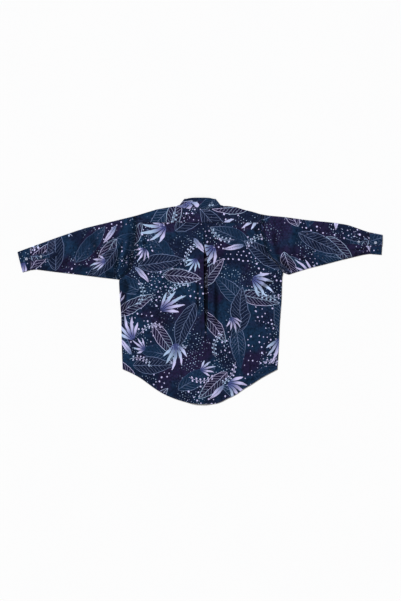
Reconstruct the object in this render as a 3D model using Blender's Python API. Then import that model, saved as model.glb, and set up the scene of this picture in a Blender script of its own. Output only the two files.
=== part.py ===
"""A long-sleeve button shirt in printed cotton, laid flat with its back side up.

+X runs along the wearer's right sleeve, +Y towards the collar, +Z up from the surface it rests on.
Sizes here are millimetres; the meshes are made in metres.
"""

import math

import bmesh
import bpy
import numpy as np

MM = 0.001
WALL = 1.0
GAP = 0.3
LAYER = WALL + GAP
FOLD_INSET = LAYER / 2 + WALL / 2

# Heights of the layers
REST = WALL / 2
BUTTON_THICK = 2.2
BUTTON_LIFT = BUTTON_THICK + GAP
BAND_HALF = 20.0
BAND_FADE = 40.0
LEAF_HALF = 104.0
LEAF_FADE = 96.0
LEAF_LOW_Y = 232.0
LEAF_RISE = 54.0
PLEAT_LIFT = 2 * LAYER
PLEAT_HALF = 24.0
PLEAT_FADE = 60.0
PLEAT_LEVEL_FADE = 90.0
PLEAT_FADE_UP = 50.0
SWELL = 1.6
SWELL_EDGE = 60.0
SWELL_SHOULDER = 40.0
CREASE_END = 0.3

# Outline, back side up: points in order along each edge, columns x and y
SHOULDER = ((-273, 367), (-224, 382), (-189, 393), (-155, 399), (-120, 405), (-86, 408),
            (86, 408), (120, 408), (155, 403), (189, 392), (224, 384), (260, 373))
LEFT_EDGE = ((-273, 367), (-275, 283), (-285, 227), (-289, 180), (-298, 137), (-348, 91),
             (-348, 72), (-344, 4), (-339, -65), (-336, -203), (-333, -293))
RIGHT_EDGE = ((260, 373), (267, 283), (284, 219), (305, 184), (331, 158), (359, 122),
              (353, 107), (350, 4), (342, -100), (338, -203), (332, -294))
HEM = ((-333, -293), (-292, -311), (-258, -330), (-224, -355), (-189, -381), (-155, -401),
       (-120, -416), (-86, -428), (-52, -437), (17, -444), (52, -441), (86, -432), (120, -419),
       (155, -402), (189, -377), (224, -357), (258, -334), (292, -315), (332, -294))
LEFT_SLEEVE = {
    "top": ((-396, 337), (-499, 312), (-602, 277), (-671, 252), (-731, 230)),
    "bottom": ((-430, 101), (-533, 114), (-636, 126), (-705, 135), (-731, 132)),
    "underarm_y": 91,
    "cuff_end": ((-785, 210), (-763, 123)),
    "cuff_button": (-746.0, 180.0),
}
RIGHT_SLEEVE = {
    "top": ((292, 367), (361, 361), (464, 347), (568, 337), (636, 327), (705, 302),
            (728, 295)),
    "bottom": ((381, 112), (396, 118), (464, 139), (533, 156), (602, 174),
               (671, 191), (705, 199), (731, 202)),
    "underarm_y": 122,
    "cuff_end": ((785, 284), (780, 198)),
    "cuff_button": (754.0, 250.0),
}

# Yoke, fronts and hems
YOKE_SEAM_Y = 337.0
YOKE_FRONT_DROP = 35.0
YOKE_ROWS = 6
YOKE_OUTER_COLUMNS = 8
NECK_POINT_Y = 408.0
LEFT_SHOULDER_SLOPE = 0.218
RIGHT_SHOULDER_SLOPE = 0.2
FRONT_EDGE_X = 17.0
FRONT_HEM_SHARE = 0.84
NECK_HALF = 85.0
NECK_BACK_DROP = 3.0
NECK_FRONT_DROP = 92.0
CORNER_Y = -294.0
CORNER_X = 333.0

# Distances of the columns from the front edge and from the pleat, then the columns left to the side
BAND_COLUMNS = (0, 17, 37, 47, 57, 67, 77, 87, 94, 99)
PLEAT_COLUMNS = (0, 14, 28, 42, 58, 76)
OUTER_COLUMNS = 6

# Where rows of the body meet its side edges, from the armhole down; the sleeves use the same places
ARMHOLE_YS = (310, 283, 255, 227, 203, 180, 158, 137, 122, 107, 91)
SIDE_YS = (60, 28, 5, -8, -20, -32, -45, -60, -90, -130, -175, -215, -255, CORNER_Y)
FRONT_SIDE_YS = (40, -20, -90, -160, -230, CORNER_Y)

# Inverted box pleat: the height y, the centre x, half of the open gap, the fold depth, the turn of
# its folds in degrees and the depth of the channel between them
PLEAT = (
    (337, 17.2, 0.15, 11.0, 180, 2.6),
    (225, 18.5, 1.5, 11.0, 180, 2.6),
    (190, 24.0, 7.0, 11.0, 180, 2.6),
    (90, 25.5, 8.5, 10.0, 180, 2.6),
    (-20, 26.0, 8.0, 7.0, 180, 2.6),
    (-85, 26.0, 6.5, 1.0, 180, 2.6),
    (-105, 26.0, 5.0, 0.6, 90, 2.2),
    (-130, 26.0, 4.0, 3.0, 26, 1.6),
    (-190, 26.0, 4.0, 5.0, 10, 0.8),
    (-290, 26.0, 4.0, 6.0, 3, 0.2),
    (-450, 26.0, 4.0, 6.0, 2, 0.1),
)
FOLD_STEPS = 4
FOLDED_OVER = 170
LEAST_RUN = 0.4

# Creases in the back and the sleeves: end points, half width and height of each soft ridge
CREASES = (
    (-11, 95, -9, -20, 9, 0.6),
    (71, 70, 70, -105, 10, 0.7),
    (225, 315, 268, 265, 9, 1.2),
    (268, 265, 300, 170, 10, 1.4),
    (-320, 20, -318, -110, 16, 0.9),
    (-262, 290, -266, 175, 12, 1.0),
    (-90, 200, -180, 30, 30, 0.6),
    (150, 120, 240, -60, 34, 0.6),
    (-420, 270, -350, 150, 16, 1.0),
    (-560, 250, -520, 150, 18, 0.9),
    (345, 300, 330, 190, 14, 1.0),
    (520, 270, 440, 190, 20, 0.8),
    (655, 262, 722, 252, 5, 0.9),
    (650, 228, 724, 232, 6, 0.9),
    (-650, 180, -722, 176, 6, 0.8),
)

# Sleeves, cuffs and plackets
SEAM_OFFSET = 1.15 * GAP
BEND_POWER = 3
CROWN_POWER = 0.8
ARM_FADE = 0.15
CUFF_FADE = 0.12
SLEEVE_RINGS = 15
SLEEVE_SWELL = 2.2
CUFF_ROWS = 4
CUFF_COLUMNS = 9
LAP_HALF = 12.0
LAP_RISE = (0.26, 0.2)
PLACKET_RINGS = 5
PLACKET_HALF = 12.0
PLACKET_MIDDLE = 0.5
PLACKET_EXTRA = 0.1
PLACKET_POINT = 0.012
PLACKET_TIP = 0.25
PLACKET_BUTTON_SHARE = 0.885
SLEEVE_BUTTON_R = 5.0
BUTTON_R = 5.75

# Collar: places across the neck, the silhouette of the leaf's side fold from its top to its edge
# (share of the leaf's height, x, y and the turn of the fold towards the shoulder in degrees)
NECK_XS = (0.0, 20.0, 30.0, 40.0, 50.0, 60.0, 70.0, 77.0, 82.0, 84.0)
LEAF_SIDE = (
    (0.0, 66.0, 440.0, 0),
    (0.7, 88.5, 411.5, 20),
    (1.0, 100.0, 409.2, 80),
)
STAND_ROWS = (0.0, 0.5, 1.0)
STAND_TOP_HALF = 61.5
STAND_SIDE_Y = (406.0, 436.0)
STAND_TOP_Y = 442.3
NECK_CURVE_POWER = 3.0
LEAF_ROWS = (0.15, 0.35, 0.55, 0.7, 0.85, 1.0)
LEAF_EDGE_Y = 396.0
LEAF_EDGE_POWER = 1.3
LEAF_EASE = 0.25
LEAF_SETTLE = 0.75
LEAF_POINT = (45.0, 290.0)

# Buttons down the front, the top one on the collar stand
FRONT_BUTTON_YS = (330.0, 275.0, 188.0, 101.0, 14.0, -73.0, -160.0, -247.0)
BUTTON_SEGMENTS = 14
BUTTON_RIM = 0.55

COLOURS = {
    "navy_print": (0.034, 0.050, 0.105, 1.0),
    "grey_button": (0.36, 0.40, 0.50, 1.0),
}


def ease(value):
    """Smooth step from 0 to 1."""
    t = np.clip(value, 0.0, 1.0)
    return t * t * (3 - 2 * t)


def plateau(offset, half, fade):
    """1 within half of the middle, easing to 0 over fade."""
    return 1 - ease((np.abs(offset) - half) / fade)


def along(table, value, column, key=0):
    """Reads a column of a table at a value of its key column, in straight runs."""
    rows = sorted(table, key=lambda row: row[key])
    return np.interp(value, [row[key] for row in rows], [row[column] for row in rows])


def curve(points, share):
    """Point at a share of the way along a line through points, by length."""
    line = np.array(points, float)
    steps = np.hypot(*np.diff(line, axis=0).T)
    length = np.concatenate(([0.0], np.cumsum(steps)))
    at = np.asarray(share) * length[-1]
    return np.stack([np.interp(at, length, line[:, 0]), np.interp(at, length, line[:, 1])], -1)


def crease_height(x, y):
    """Sum of the soft ridges at each point."""
    height = np.zeros(np.broadcast(x, y).shape)
    for x0, y0, x1, y1, half, rise in CREASES:
        run_x, run_y = x1 - x0, y1 - y0
        length = math.hypot(run_x, run_y)
        share = ((x - x0) * run_x + (y - y0) * run_y) / length**2
        across = ((x - x0) * run_y - (y - y0) * run_x) / length
        ends = ease(share / CREASE_END + CREASE_END) * ease((1 - share) / CREASE_END + CREASE_END)
        height = height + rise * ends * np.exp(-((across / half) ** 2))
    return height


def front_level(x, y):
    """Middle height of the lowest layer of the body: flat, over the collar points and buttons."""
    leaf = plateau(x, LEAF_HALF, LEAF_FADE) * ease((y - LEAF_LOW_Y) / LEAF_RISE)
    return REST + LAYER * leaf + BUTTON_LIFT * plateau(x, BAND_HALF, BAND_FADE)


def under_level(x, y):
    """Middle height of the first layer above both fronts."""
    return front_level(x, y) + LAYER + LAYER * plateau(x, BAND_HALF, BAND_FADE)


def back_level(x, y):
    """Middle height of the upper layer of the back and yoke."""
    centre = along(PLEAT, y, 1)
    open_share = along(PLEAT, y, 5) / PLEAT_LIFT
    fade_up = 1 - ease((y - YOKE_SEAM_Y) / PLEAT_FADE_UP)
    pleat = PLEAT_LIFT * open_share * fade_up * plateau(x - centre, PLEAT_HALF, PLEAT_FADE)
    inside = ease((x - along(LEFT_EDGE, y, 0, 1)) / SWELL_EDGE)
    inside = inside * ease((along(RIGHT_EDGE, y, 0, 1) - x) / SWELL_EDGE)
    inside = inside * ease((y - along(HEM, x, 1)) / SWELL_EDGE)
    inside = inside * ease((along(SHOULDER, x, 1) - y) / SWELL_SHOULDER - 0.1)
    return under_level(x, y) + pleat + (SWELL + crease_height(x, y)) * inside


def material(name, roughness):
    """Principled material in one of the named colours."""
    result = bpy.data.materials.new(name)
    result.use_nodes = True
    shader = result.node_tree.nodes["Principled BSDF"]
    shader.inputs["Base Color"].default_value = COLOURS[name]
    shader.inputs["Roughness"].default_value = roughness
    return result


def add_object(name, mesh, finish):
    """Turns a bmesh in millimetres into a named object in metres."""
    bmesh.ops.recalc_face_normals(mesh, faces=mesh.faces)
    if mesh.calc_volume(signed=True) < 0:
        bmesh.ops.reverse_faces(mesh, faces=mesh.faces)
    bmesh.ops.scale(mesh, vec=(MM, MM, MM), verts=mesh.verts)
    data = bpy.data.meshes.new(name)
    mesh.to_mesh(data)
    mesh.free()
    data.shade_smooth()
    data.set_sharp_from_angle(angle=math.radians(40))
    data.materials.append(finish)
    made = bpy.data.objects.new(name, data)
    bpy.context.scene.collection.objects.link(made)
    return made


def wall(name, points, normals, finish, closed=False, cells=None):
    """Cloth wall about a grid of middle points: two skins half a wall away, joined at every rim.

    closed joins the last column to the first; cells says which cells of the grid are cloth.
    """
    rows, columns = points.shape[:2]
    skins = (points + normals * (WALL / 2), points - normals * (WALL / 2))
    if cells is None:
        cells = np.ones((rows - 1, columns if closed else columns - 1), bool)
    mesh = bmesh.new()
    made = {}
    rims = {}

    def corner(skin, row, column):
        key = (skin, row, column)
        if key not in made:
            made[key] = mesh.verts.new(skins[skin][row, column])
        return made[key]

    for row, column in zip(*np.nonzero(cells)):
        following = (column + 1) % columns
        loop = ((row, column), (row, following), (row + 1, following), (row + 1, column))
        mesh.faces.new([corner(0, *place) for place in loop])
        mesh.faces.new([corner(1, *place) for place in reversed(loop)])
        for start, end in zip(loop, loop[1:] + loop[:1]):
            key = frozenset((start, end))
            rims[key] = None if key in rims else (start, end)
    for pair in filter(None, rims.values()):
        start, end = pair
        mesh.faces.new((corner(0, *end), corner(0, *start), corner(1, *start), corner(1, *end)))
    return add_object(name, mesh, finish)


def turn(end, start, bulge, steps=FOLD_STEPS):
    """Half circle from the end of one run round to the start of the next, without both ends."""
    centre = (end + start) / 2
    arm = (end - start) / 2
    radius = np.linalg.norm(arm)
    angle = np.linspace(0, math.pi, steps + 1)[1:-1, None]
    points = centre + arm * np.cos(angle) + bulge * radius * np.sin(angle)
    normals = arm / radius * np.cos(angle) + bulge * np.sin(angle)
    return points, normals


def level_run(xy, z, up=1.0):
    """Run of middle points at height z, with normals straight up or down."""
    points = np.column_stack([xy, np.broadcast_to(z, len(xy))])
    normals = np.tile([0.0, 0.0, up], (len(xy), 1))
    return points, normals


def joined(pieces):
    """Joins runs and turns into one row of points and one of normals."""
    return np.vstack([piece[0] for piece in pieces]), np.vstack([piece[1] for piece in pieces])


def flat_bulge(direction):
    """Unit vector in the plane of the table."""
    vector = np.array([direction[0], direction[1], 0.0])
    return vector / np.linalg.norm(vector)


def grid(rows):
    """Stacks rows of points and normals into two arrays."""
    return np.stack([row[0] for row in rows]), np.stack([row[1] for row in rows])


def hem_y(x, hem_share=1.0):
    """Hem below each x, with the depth of its tail scaled."""
    return CORNER_Y + hem_share * (along(HEM, x, 1) - CORNER_Y)


def pleat_half(y):
    """Half a pleat from the upper layer to the channel: x from the centre, drop and slope."""
    gap, depth, turned, drop = (float(along(PLEAT, y, column)) for column in (2, 3, 4, 5))
    angle = math.radians(turned)
    radius = math.pi * LAYER / 2 / angle
    bends = 2 * radius * (1 - math.cos(angle))
    folded_over = turned > FOLDED_OVER
    straight = depth if folded_over else max((drop - bends) / math.sin(angle), LEAST_RUN)
    steps = np.linspace(0, angle, FOLD_STEPS + 1)
    first = np.column_stack([radius * np.sin(steps), radius * (1 - np.cos(steps)), steps])
    after = first[-1, :2] + straight * np.array([math.cos(angle), math.sin(angle)])
    back = steps[::-1]
    second_x = after[0] + radius * (math.sin(angle) - np.sin(back))
    second_drop = after[1] + radius * (np.cos(back) - math.cos(angle))
    path = np.vstack([first, np.column_stack([second_x, second_drop, back])])
    path[:, 0] -= gap + radius * math.sin(min(angle, math.pi / 2)) + WALL / 2
    return path


def column_xs(start, end, near):
    """Columns at fixed distances from start, then evenly on to end."""
    way = math.copysign(1.0, end - start)
    first = start + way * np.array(near, float)
    return np.concatenate([first, np.linspace(first[-1], end, OUTER_COLUMNS + 1)[1:]])


def pleat_run(centre, half, y, side):
    """Points and normals of one half of the pleat: side is -1 on the wearer's left."""
    x = centre - side * half[:, 0]
    high = float(back_level(x[0], y))
    points = np.column_stack([x, np.full(len(half), y), high - half[:, 1]])
    normals = np.column_stack([-side * np.sin(half[:, 2]), np.zeros(len(half)), np.cos(half[:, 2])])
    return points, normals


def back_side(side, edge_y, share, inner_x, centre_y):
    """Run of one side of the back, from its edge to the pleat."""
    table = LEFT_EDGE if side < 0 else RIGHT_EDGE
    edge_x = float(along(table, edge_y, 0, 1))
    x = column_xs(inner_x, edge_x, PLEAT_COLUMNS)[::-1][:-1]
    hem = hem_y(x * side * CORNER_X / edge_x)
    top = YOKE_SEAM_Y - GAP
    y = top + share * (hem - top)
    near_pleat = plateau(x - inner_x, 0, PLEAT_LEVEL_FADE)
    y = y * (1 - near_pleat) + centre_y * near_pleat
    return level_run(np.column_stack([x, y]), back_level(x, y))


def back_panel(finish):
    """Back with its inverted box pleat, from the yoke seam to the shirt tail."""
    rows = []
    top = YOKE_SEAM_Y - GAP
    for edge_y in (top,) + ARMHOLE_YS + SIDE_YS:
        share = (top - edge_y) / (top - CORNER_Y)
        centre_y = top + share * (float(hem_y(PLEAT[0][1])) - top)
        centre = float(along(PLEAT, centre_y, 1))
        half = pleat_half(centre_y)
        left = back_side(-1, edge_y, share, centre + half[0, 0], centre_y)
        right = back_side(1, edge_y, share, centre - half[0, 0], centre_y)
        near = pleat_run(centre, half, centre_y, -1)
        far = pleat_run(centre, half, centre_y, 1)
        middle = ((near[0][-1:] + far[0][-1:]) / 2, np.array([[0.0, 0.0, 1.0]]))
        pieces = [left, near, middle, (far[0][::-1], far[1][::-1]), (right[0][::-1], right[1][::-1])]
        rows.append(joined(pieces))
    points, normals = grid(rows)
    return wall("back", points, normals, finish)


def neck_back(x):
    """Lower edge of the neck opening in the yoke."""
    return along(SHOULDER, x, 1) - NECK_BACK_DROP * np.clip(1 - (x / NECK_HALF) ** 2, 0, 1)


def front_seam(x):
    """Seam between the yoke and the fronts: straight from each armhole to the neck."""
    slope = np.where(x < 0, LEFT_SHOULDER_SLOPE, RIGHT_SHOULDER_SLOPE)
    return NECK_POINT_Y - YOKE_FRONT_DROP - slope * np.maximum(np.abs(x) - NECK_HALF, 0)


def neck_curve(x, half):
    """Depth of the front neck below its side points: a squarish half ellipse."""
    share = np.clip(np.abs(x) / half, 0, 1)
    return NECK_FRONT_DROP * (1 - share**NECK_CURVE_POWER) ** (1 / NECK_CURVE_POWER)


def front_top(x):
    """Top edge of the fronts: the yoke's front seam, then the scoop of the neck."""
    scoop = STAND_SIDE_Y[0] - 2 * GAP - neck_curve(x, NECK_XS[-1])
    return np.where(np.abs(x) < NECK_XS[-1], np.minimum(front_seam(x), scoop), front_seam(x))


def yoke_columns(share):
    """X of the yoke's columns a share of the way from its seam to the fold: shoulder, neck, shoulder."""
    left_top, right_top = SHOULDER[0][1], SHOULDER[-1][1]
    left_x = float(along(LEFT_EDGE, YOKE_SEAM_Y + share * (left_top - YOKE_SEAM_Y), 0, 1))
    right_x = float(along(RIGHT_EDGE, YOKE_SEAM_Y + share * (right_top - YOKE_SEAM_Y), 0, 1))
    outer = np.linspace(0, 1, YOKE_OUTER_COLUMNS)
    left = left_x + (-NECK_HALF - left_x) * outer
    right = NECK_HALF + (right_x - NECK_HALF) * outer
    inner = np.array(NECK_XS[:-1])
    return np.concatenate([left, -inner[::-1], inner[1:], right])


def yoke_panel(finish):
    """Yoke: up the back, round the shoulder folds beside the neck and a little down the front."""
    x = yoke_columns(1.0)
    apex = along(SHOULDER, x, 1)
    low = front_level(x, apex)
    over_neck = np.abs(x) < NECK_XS[-1]
    fold_y = np.where(over_neck, neck_back(x), apex - FOLD_INSET)
    rows = []
    for share in np.linspace(0, 1, YOKE_ROWS):
        row_x = yoke_columns(share)
        y = YOKE_SEAM_Y + share * (fold_y - YOKE_SEAM_Y)
        rows.append(level_run(np.column_stack([row_x, y]), back_level(row_x, y)))
    high = rows[-1][0][:, 2]
    radius = (high - low) / 2
    for angle in np.linspace(0, math.pi, FOLD_STEPS + 1)[1:-1]:
        y = fold_y + LAYER / 2 * math.sin(angle)
        z = (high + low) / 2 + radius * math.cos(angle)
        normal = np.tile([0.0, math.sin(angle), math.cos(angle)], (len(x), 1))
        rows.append((np.column_stack([x, y, z]), normal))
    for share in np.linspace(0, 1, 3):
        y = fold_y + share * (front_seam(x) + GAP - fold_y)
        rows.append(level_run(np.column_stack([x, y]), front_level(x, y), -1.0))
    points, normals = grid(rows)
    cells = np.ones((len(rows) - 1, len(x) - 1), bool)
    over_neck_cells = np.abs((x[1:] + x[:-1]) / 2) < NECK_HALF
    cells[YOKE_ROWS - 1:, over_neck_cells] = False
    return wall("yoke", points, normals, finish, cells=cells)


def front_panel(name, side, finish):
    """One front with its grown-on button band: side is -1 for the wearer's left, +1 for the right."""
    table = LEFT_EDGE if side < 0 else RIGHT_EDGE
    centre_x = -side * FRONT_EDGE_X
    top_y = table[0][1] - YOKE_FRONT_DROP
    top_x = float(along(table, top_y, 0, 1))
    top_xs = column_xs(centre_x, top_x, BAND_COLUMNS)
    hem_xs = column_xs(centre_x, side * CORNER_X, BAND_COLUMNS)
    rows = []
    for edge_y in (top_y,) + ARMHOLE_YS + FRONT_SIDE_YS:
        side_share = (top_y - edge_y) / (top_y - CORNER_Y)
        band_share = max(YOKE_SEAM_Y - edge_y, 0) / (YOKE_SEAM_Y - CORNER_Y) if side_share else 0.0
        edge_x = float(along(table, edge_y, 0, 1))
        x = column_xs(centre_x, edge_x, BAND_COLUMNS)
        share = band_share + (side_share - band_share) * (x - centre_x) / (edge_x - centre_x)
        top = front_top(top_xs)
        y = top + share * (hem_y(hem_xs, FRONT_HEM_SHARE) - top)
        z = front_level(x, y)
        if side > 0:
            z = z + LAYER * plateau(x, BAND_HALF, BAND_FADE)
        rows.append(level_run(np.column_stack([x, y]), z))
    points, normals = grid(rows)
    return wall(name, points, normals, finish)


def armhole_points(side):
    """Places where the body's rows meet the armhole, moved out of the body by the seam gap."""
    table = LEFT_EDGE if side < 0 else RIGHT_EDGE
    under = (LEFT_SLEEVE if side < 0 else RIGHT_SLEEVE)["underarm_y"]
    top_y = float(table[0][1])
    ys = [top_y, (top_y + YOKE_SEAM_Y) / 2, YOKE_SEAM_Y] + [y for y in ARMHOLE_YS if y >= under]
    line = np.column_stack([along(table, np.array(ys), 0, 1), ys])
    run = np.gradient(line, axis=0)
    outward = np.column_stack([-run[:, 1], run[:, 0]]) * side
    outward = outward / np.linalg.norm(outward, axis=1)[:, None]
    return line + outward * SEAM_OFFSET


def sleeve_line(side, share):
    """Line across a sleeve from its top edge to its bottom edge, with the directions of its ends."""
    table = LEFT_SLEEVE if side < 0 else RIGHT_SLEEVE
    arm = armhole_points(side)
    steps = np.concatenate(([0.0], np.cumsum(np.hypot(*np.diff(arm, axis=0).T))))
    a = (steps / steps[-1])[:, None]
    top = curve((tuple(arm[0]),) + table["top"], share)
    bottom = curve((tuple(arm[-1]),) + table["bottom"], share)
    bend = arm - (arm[0] + (arm[-1] - arm[0]) * a)
    line = top + (bottom - top) * a + bend * (1 - share) ** BEND_POWER
    first = line[1] - line[0]
    last = line[-1] - line[-2]
    line[0] += first / np.linalg.norm(first) * FOLD_INSET
    line[-1] -= last / np.linalg.norm(last) * FOLD_INSET
    return line, first, last


def sleeve_top_level(line, share):
    """Middle height of the upper wall of a sleeve along a line across it."""
    a = np.linspace(0, 1, len(line))
    crown = np.sin(np.pi * a) ** CROWN_POWER
    ends = ease(share / ARM_FADE) * ease((1 - share) / CUFF_FADE)
    swell = (SLEEVE_SWELL + crease_height(line[:, 0], line[:, 1])) * crown * ends
    return REST + LAYER + np.maximum(swell, 0)


def sleeve(name, side, finish):
    """Flattened tube from the armhole to the cuff seam."""
    rows = []
    for share in np.linspace(0, 1, SLEEVE_RINGS):
        line, first, last = sleeve_line(side, share)
        upper = level_run(line, sleeve_top_level(line, share))
        lower = level_run(line[::-1], REST, -1.0)
        far = turn(upper[0][-1], lower[0][0], flat_bulge(last))
        near = turn(lower[0][-1], upper[0][0], flat_bulge(-first))
        rows.append(joined([upper, far, lower, near]))
    points, normals = grid(rows)
    return wall(name, points, normals, finish, closed=True)


def cuff(name, side, finish):
    """Flattened cuff band whose ends lap over each other on the back, under the button."""
    table = LEFT_SLEEVE if side < 0 else RIGHT_SLEEVE
    sleeve_end = np.array((table["top"][-1], table["bottom"][-1]), float)
    sleeve_end[:, 0] += side * GAP
    cuff_end = np.array(table["cuff_end"], float)
    button = np.array(table["cuff_button"])
    rows = []
    for share in np.linspace(0, 1, CUFF_ROWS):
        top, bottom = sleeve_end + (cuff_end - sleeve_end) * share
        across = bottom - top
        length = np.linalg.norm(across)
        unit = across / length
        top, bottom = top + FOLD_INSET * unit, bottom - FOLD_INSET * unit
        middle = float(np.dot(button - (top + bottom) / 2, unit)) / length + 0.5
        lap = LAP_HALF / length
        under_end, over_end = middle - lap, middle + lap
        under = np.linspace(under_end, 1, CUFF_COLUMNS)[:, None]
        over = np.linspace(0, over_end, CUFF_COLUMNS)[:, None]
        rise = ease((over[:, 0] - under_end + LAP_RISE[0]) / LAP_RISE[1])
        first = level_run(top + (bottom - top) * under, REST + LAYER)
        lower = level_run(top + (bottom - top) * np.linspace(1, 0, CUFF_COLUMNS)[:, None], REST, -1.0)
        last = level_run(top + (bottom - top) * over, REST + LAYER + LAYER * rise)
        far = turn(first[0][-1], lower[0][0], flat_bulge(unit))
        near = turn(lower[0][-1], last[0][0], flat_bulge(-unit))
        rows.append(joined([first, far, lower, near, last]))
    points, normals = grid(rows)
    return wall(name, points, normals, finish)


def sleeve_ring_point(side, share, a):
    """Middle of a sleeve's upper wall at a share of its length and a share of the way across."""
    line, _, _ = sleeve_line(side, share)
    levels = sleeve_top_level(line, share)
    steps = np.concatenate(([0.0], np.cumsum(np.hypot(*np.diff(line, axis=0).T))))
    at = np.asarray(a) * steps[-1]
    flat = [np.interp(at, steps, column) for column in (line[:, 0], line[:, 1], levels)]
    return np.stack(flat, -1), steps[-1]


def sleeve_placket(name, side, finish):
    """Strip sewn over the sleeve's slit, from the cuff seam to its pointed end."""
    shares = list(np.linspace(0, 1, SLEEVE_RINGS)[-PLACKET_RINGS:])
    rows = []
    for index, share in enumerate(shares):
        _, length = sleeve_ring_point(side, share, 0.5)
        half = PLACKET_HALF * (PLACKET_TIP if index == 0 else 1.0) / length
        if index == 1:
            share = share - PLACKET_POINT
        line, _ = sleeve_ring_point(side, share, PLACKET_MIDDLE + half * np.linspace(-1, 1, 4))
        line[:, 2] += LAYER + PLACKET_EXTRA
        rows.append((line, np.tile([0.0, 0.0, 1.0], (4, 1))))
    points, normals = grid(rows)
    return wall(name, points, normals, finish)


def button(name, x, y, seat, radius, up, finish):
    """Turned button with a raised rim; up is 1 where its face looks up and -1 where it looks down."""
    rim = BUTTON_RIM
    profile = ((0.0, 0.0), (radius - rim, 0.0), (radius, rim), (radius, BUTTON_THICK - rim),
               (radius - rim, BUTTON_THICK), (radius - 3 * rim, BUTTON_THICK),
               (radius - 4 * rim, BUTTON_THICK - rim), (0.0, BUTTON_THICK - rim))
    mesh = bmesh.new()
    line = [mesh.verts.new((x + r, y, seat + up * z)) for r, z in profile]
    edges = [mesh.edges.new(pair) for pair in zip(line, line[1:])]
    bmesh.ops.spin(mesh, geom=line + edges, cent=(x, y, seat), axis=(0, 0, 1), angle=2 * math.pi,
                   steps=BUTTON_SEGMENTS, use_merge=True)
    bmesh.ops.remove_doubles(mesh, verts=mesh.verts, dist=0.001)
    return add_object(name, mesh, finish)


def stand_row(share):
    """Row of the collar stand: lapped front ends below, both side folds and the back above."""
    half = NECK_XS[-1] + (STAND_TOP_HALF - NECK_XS[-1]) * share
    scale = half / NECK_XS[-1]
    xs = np.array(NECK_XS) * (half - FOLD_INSET) / NECK_XS[-1]
    side_y = STAND_SIDE_Y[0] + (STAND_SIDE_Y[1] - STAND_SIDE_Y[0]) * share
    lapped = np.concatenate(([FRONT_EDGE_X * scale], -xs))
    low_y = side_y - neck_curve(lapped, half - FOLD_INSET)
    above = np.concatenate((-xs[::-1], xs[1:]))
    crown = 1 - (above / (half - FOLD_INSET)) ** 2
    back_low = neck_back(above) + GAP * 2
    back_high = side_y + (STAND_TOP_Y - STAND_SIDE_Y[1]) * crown
    high_y = back_low + (back_high - back_low) * share
    levels = front_level(lapped, LEAF_POINT[1])
    left = level_run(np.column_stack([lapped, low_y]), levels, -1.0)
    over = levels + LAYER * plateau(lapped, BAND_HALF, BAND_FADE)
    right = level_run(np.column_stack([-lapped, low_y])[::-1], over[::-1], -1.0)
    top = level_run(np.column_stack([above, high_y]), back_level(above, NECK_POINT_Y))
    near = turn(left[0][-1], top[0][0], np.array([-1.0, 0.0, 0.0]))
    far = turn(top[0][-1], right[0][0], np.array([1.0, 0.0, 0.0]))
    return joined([left, near, top, far, right])


def collar_stand(finish):
    """Stand round the neck, its ends lapped at the centre front."""
    points, normals = grid([stand_row(share) for share in STAND_ROWS])
    return wall("collar_stand", points, normals, finish)


def leaf_row(share):
    """Row of the collar leaf a share of the way from its fold to its edge."""
    side_x, side_y, lean = (float(along(LEAF_SIDE, share, column)) for column in (1, 2, 3))
    lean = math.radians(lean)
    inset = LAYER + FOLD_INSET
    side_x -= inset * math.cos(lean)
    side_y -= inset * math.sin(lean)
    spans = np.array(NECK_XS[1:])
    r = (spans - spans[0]) / (spans[-1] - spans[0])
    top_half = STAND_TOP_HALF
    inner = spans[0] * top_half / NECK_XS[-1]
    end_x = inner + (LEAF_POINT[0] - inner) * share
    x = end_x + r * (side_x - end_x)
    top_x = inner + r * (top_half - inner)
    top_y = STAND_SIDE_Y[1] - neck_curve(top_x, top_half)
    edge_y = LEAF_POINT[1] + (LEAF_SIDE[-1][2] - inset - LEAF_POINT[1]) * r**LEAF_EDGE_POWER
    straight_side = STAND_SIDE_Y[1] + (edge_y[-1] - STAND_SIDE_Y[1]) * share
    y = top_y + (edge_y - top_y) * share + (side_y - straight_side) * r**BEND_POWER
    above = np.concatenate((-np.array(NECK_XS[::-1]), NECK_XS[1:])) / NECK_XS[-1]
    centre_y = STAND_TOP_Y + (LEAF_EDGE_Y - STAND_TOP_Y) * share
    high_y = side_y + (centre_y - side_y) * (1 - above**2)
    high_x = above * side_x
    lifted = front_level(x, np.maximum(y, LEAF_POINT[1])) - LAYER
    low_z = REST + (lifted - REST) * LEAF_SETTLE
    left = level_run(np.column_stack([-x, y]), low_z, -1.0)
    right = level_run(np.column_stack([x, y])[::-1], low_z[::-1], -1.0)
    level = np.maximum(back_level(high_x, high_y), back_level(high_x, NECK_POINT_Y))
    top = level_run(np.column_stack([high_x, high_y]), level + LAYER + LEAF_EASE)
    bulge = np.array([math.cos(lean), math.sin(lean), 0.0])
    near = turn(left[0][-1], top[0][0], bulge * (-1, 1, 1))
    far = turn(top[0][-1], right[0][0], bulge)
    return joined([left, near, top, far, right])


def collar_leaf(finish):
    """Leaf: rises from the stand's top edge, folds over it and falls outside the neck."""
    base, outward = stand_row(1.0)
    base, outward = base[2:-2], outward[2:-2]
    along_y = np.array([0.0, 1.0, 0.0])
    rows = []
    for angle in np.linspace(0, math.pi, FOLD_STEPS + 1):
        radial = along_y * math.sin(angle) - outward * math.cos(angle)
        centre = base + along_y * GAP + outward * LAYER / 2
        rows.append((centre + radial * LAYER / 2, radial))
    rows += [leaf_row(share) for share in LEAF_ROWS]
    points, normals = grid(rows)
    return wall("collar", points, normals, finish)


def front_button(number, y, finish):
    """Button under the wearer's left front, sewn through both bands."""
    top = float(front_level(0.0, y)) - WALL / 2 - GAP
    return button(f"front_button_{number}", 0.0, y, top, BUTTON_R, -1, finish)


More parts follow.
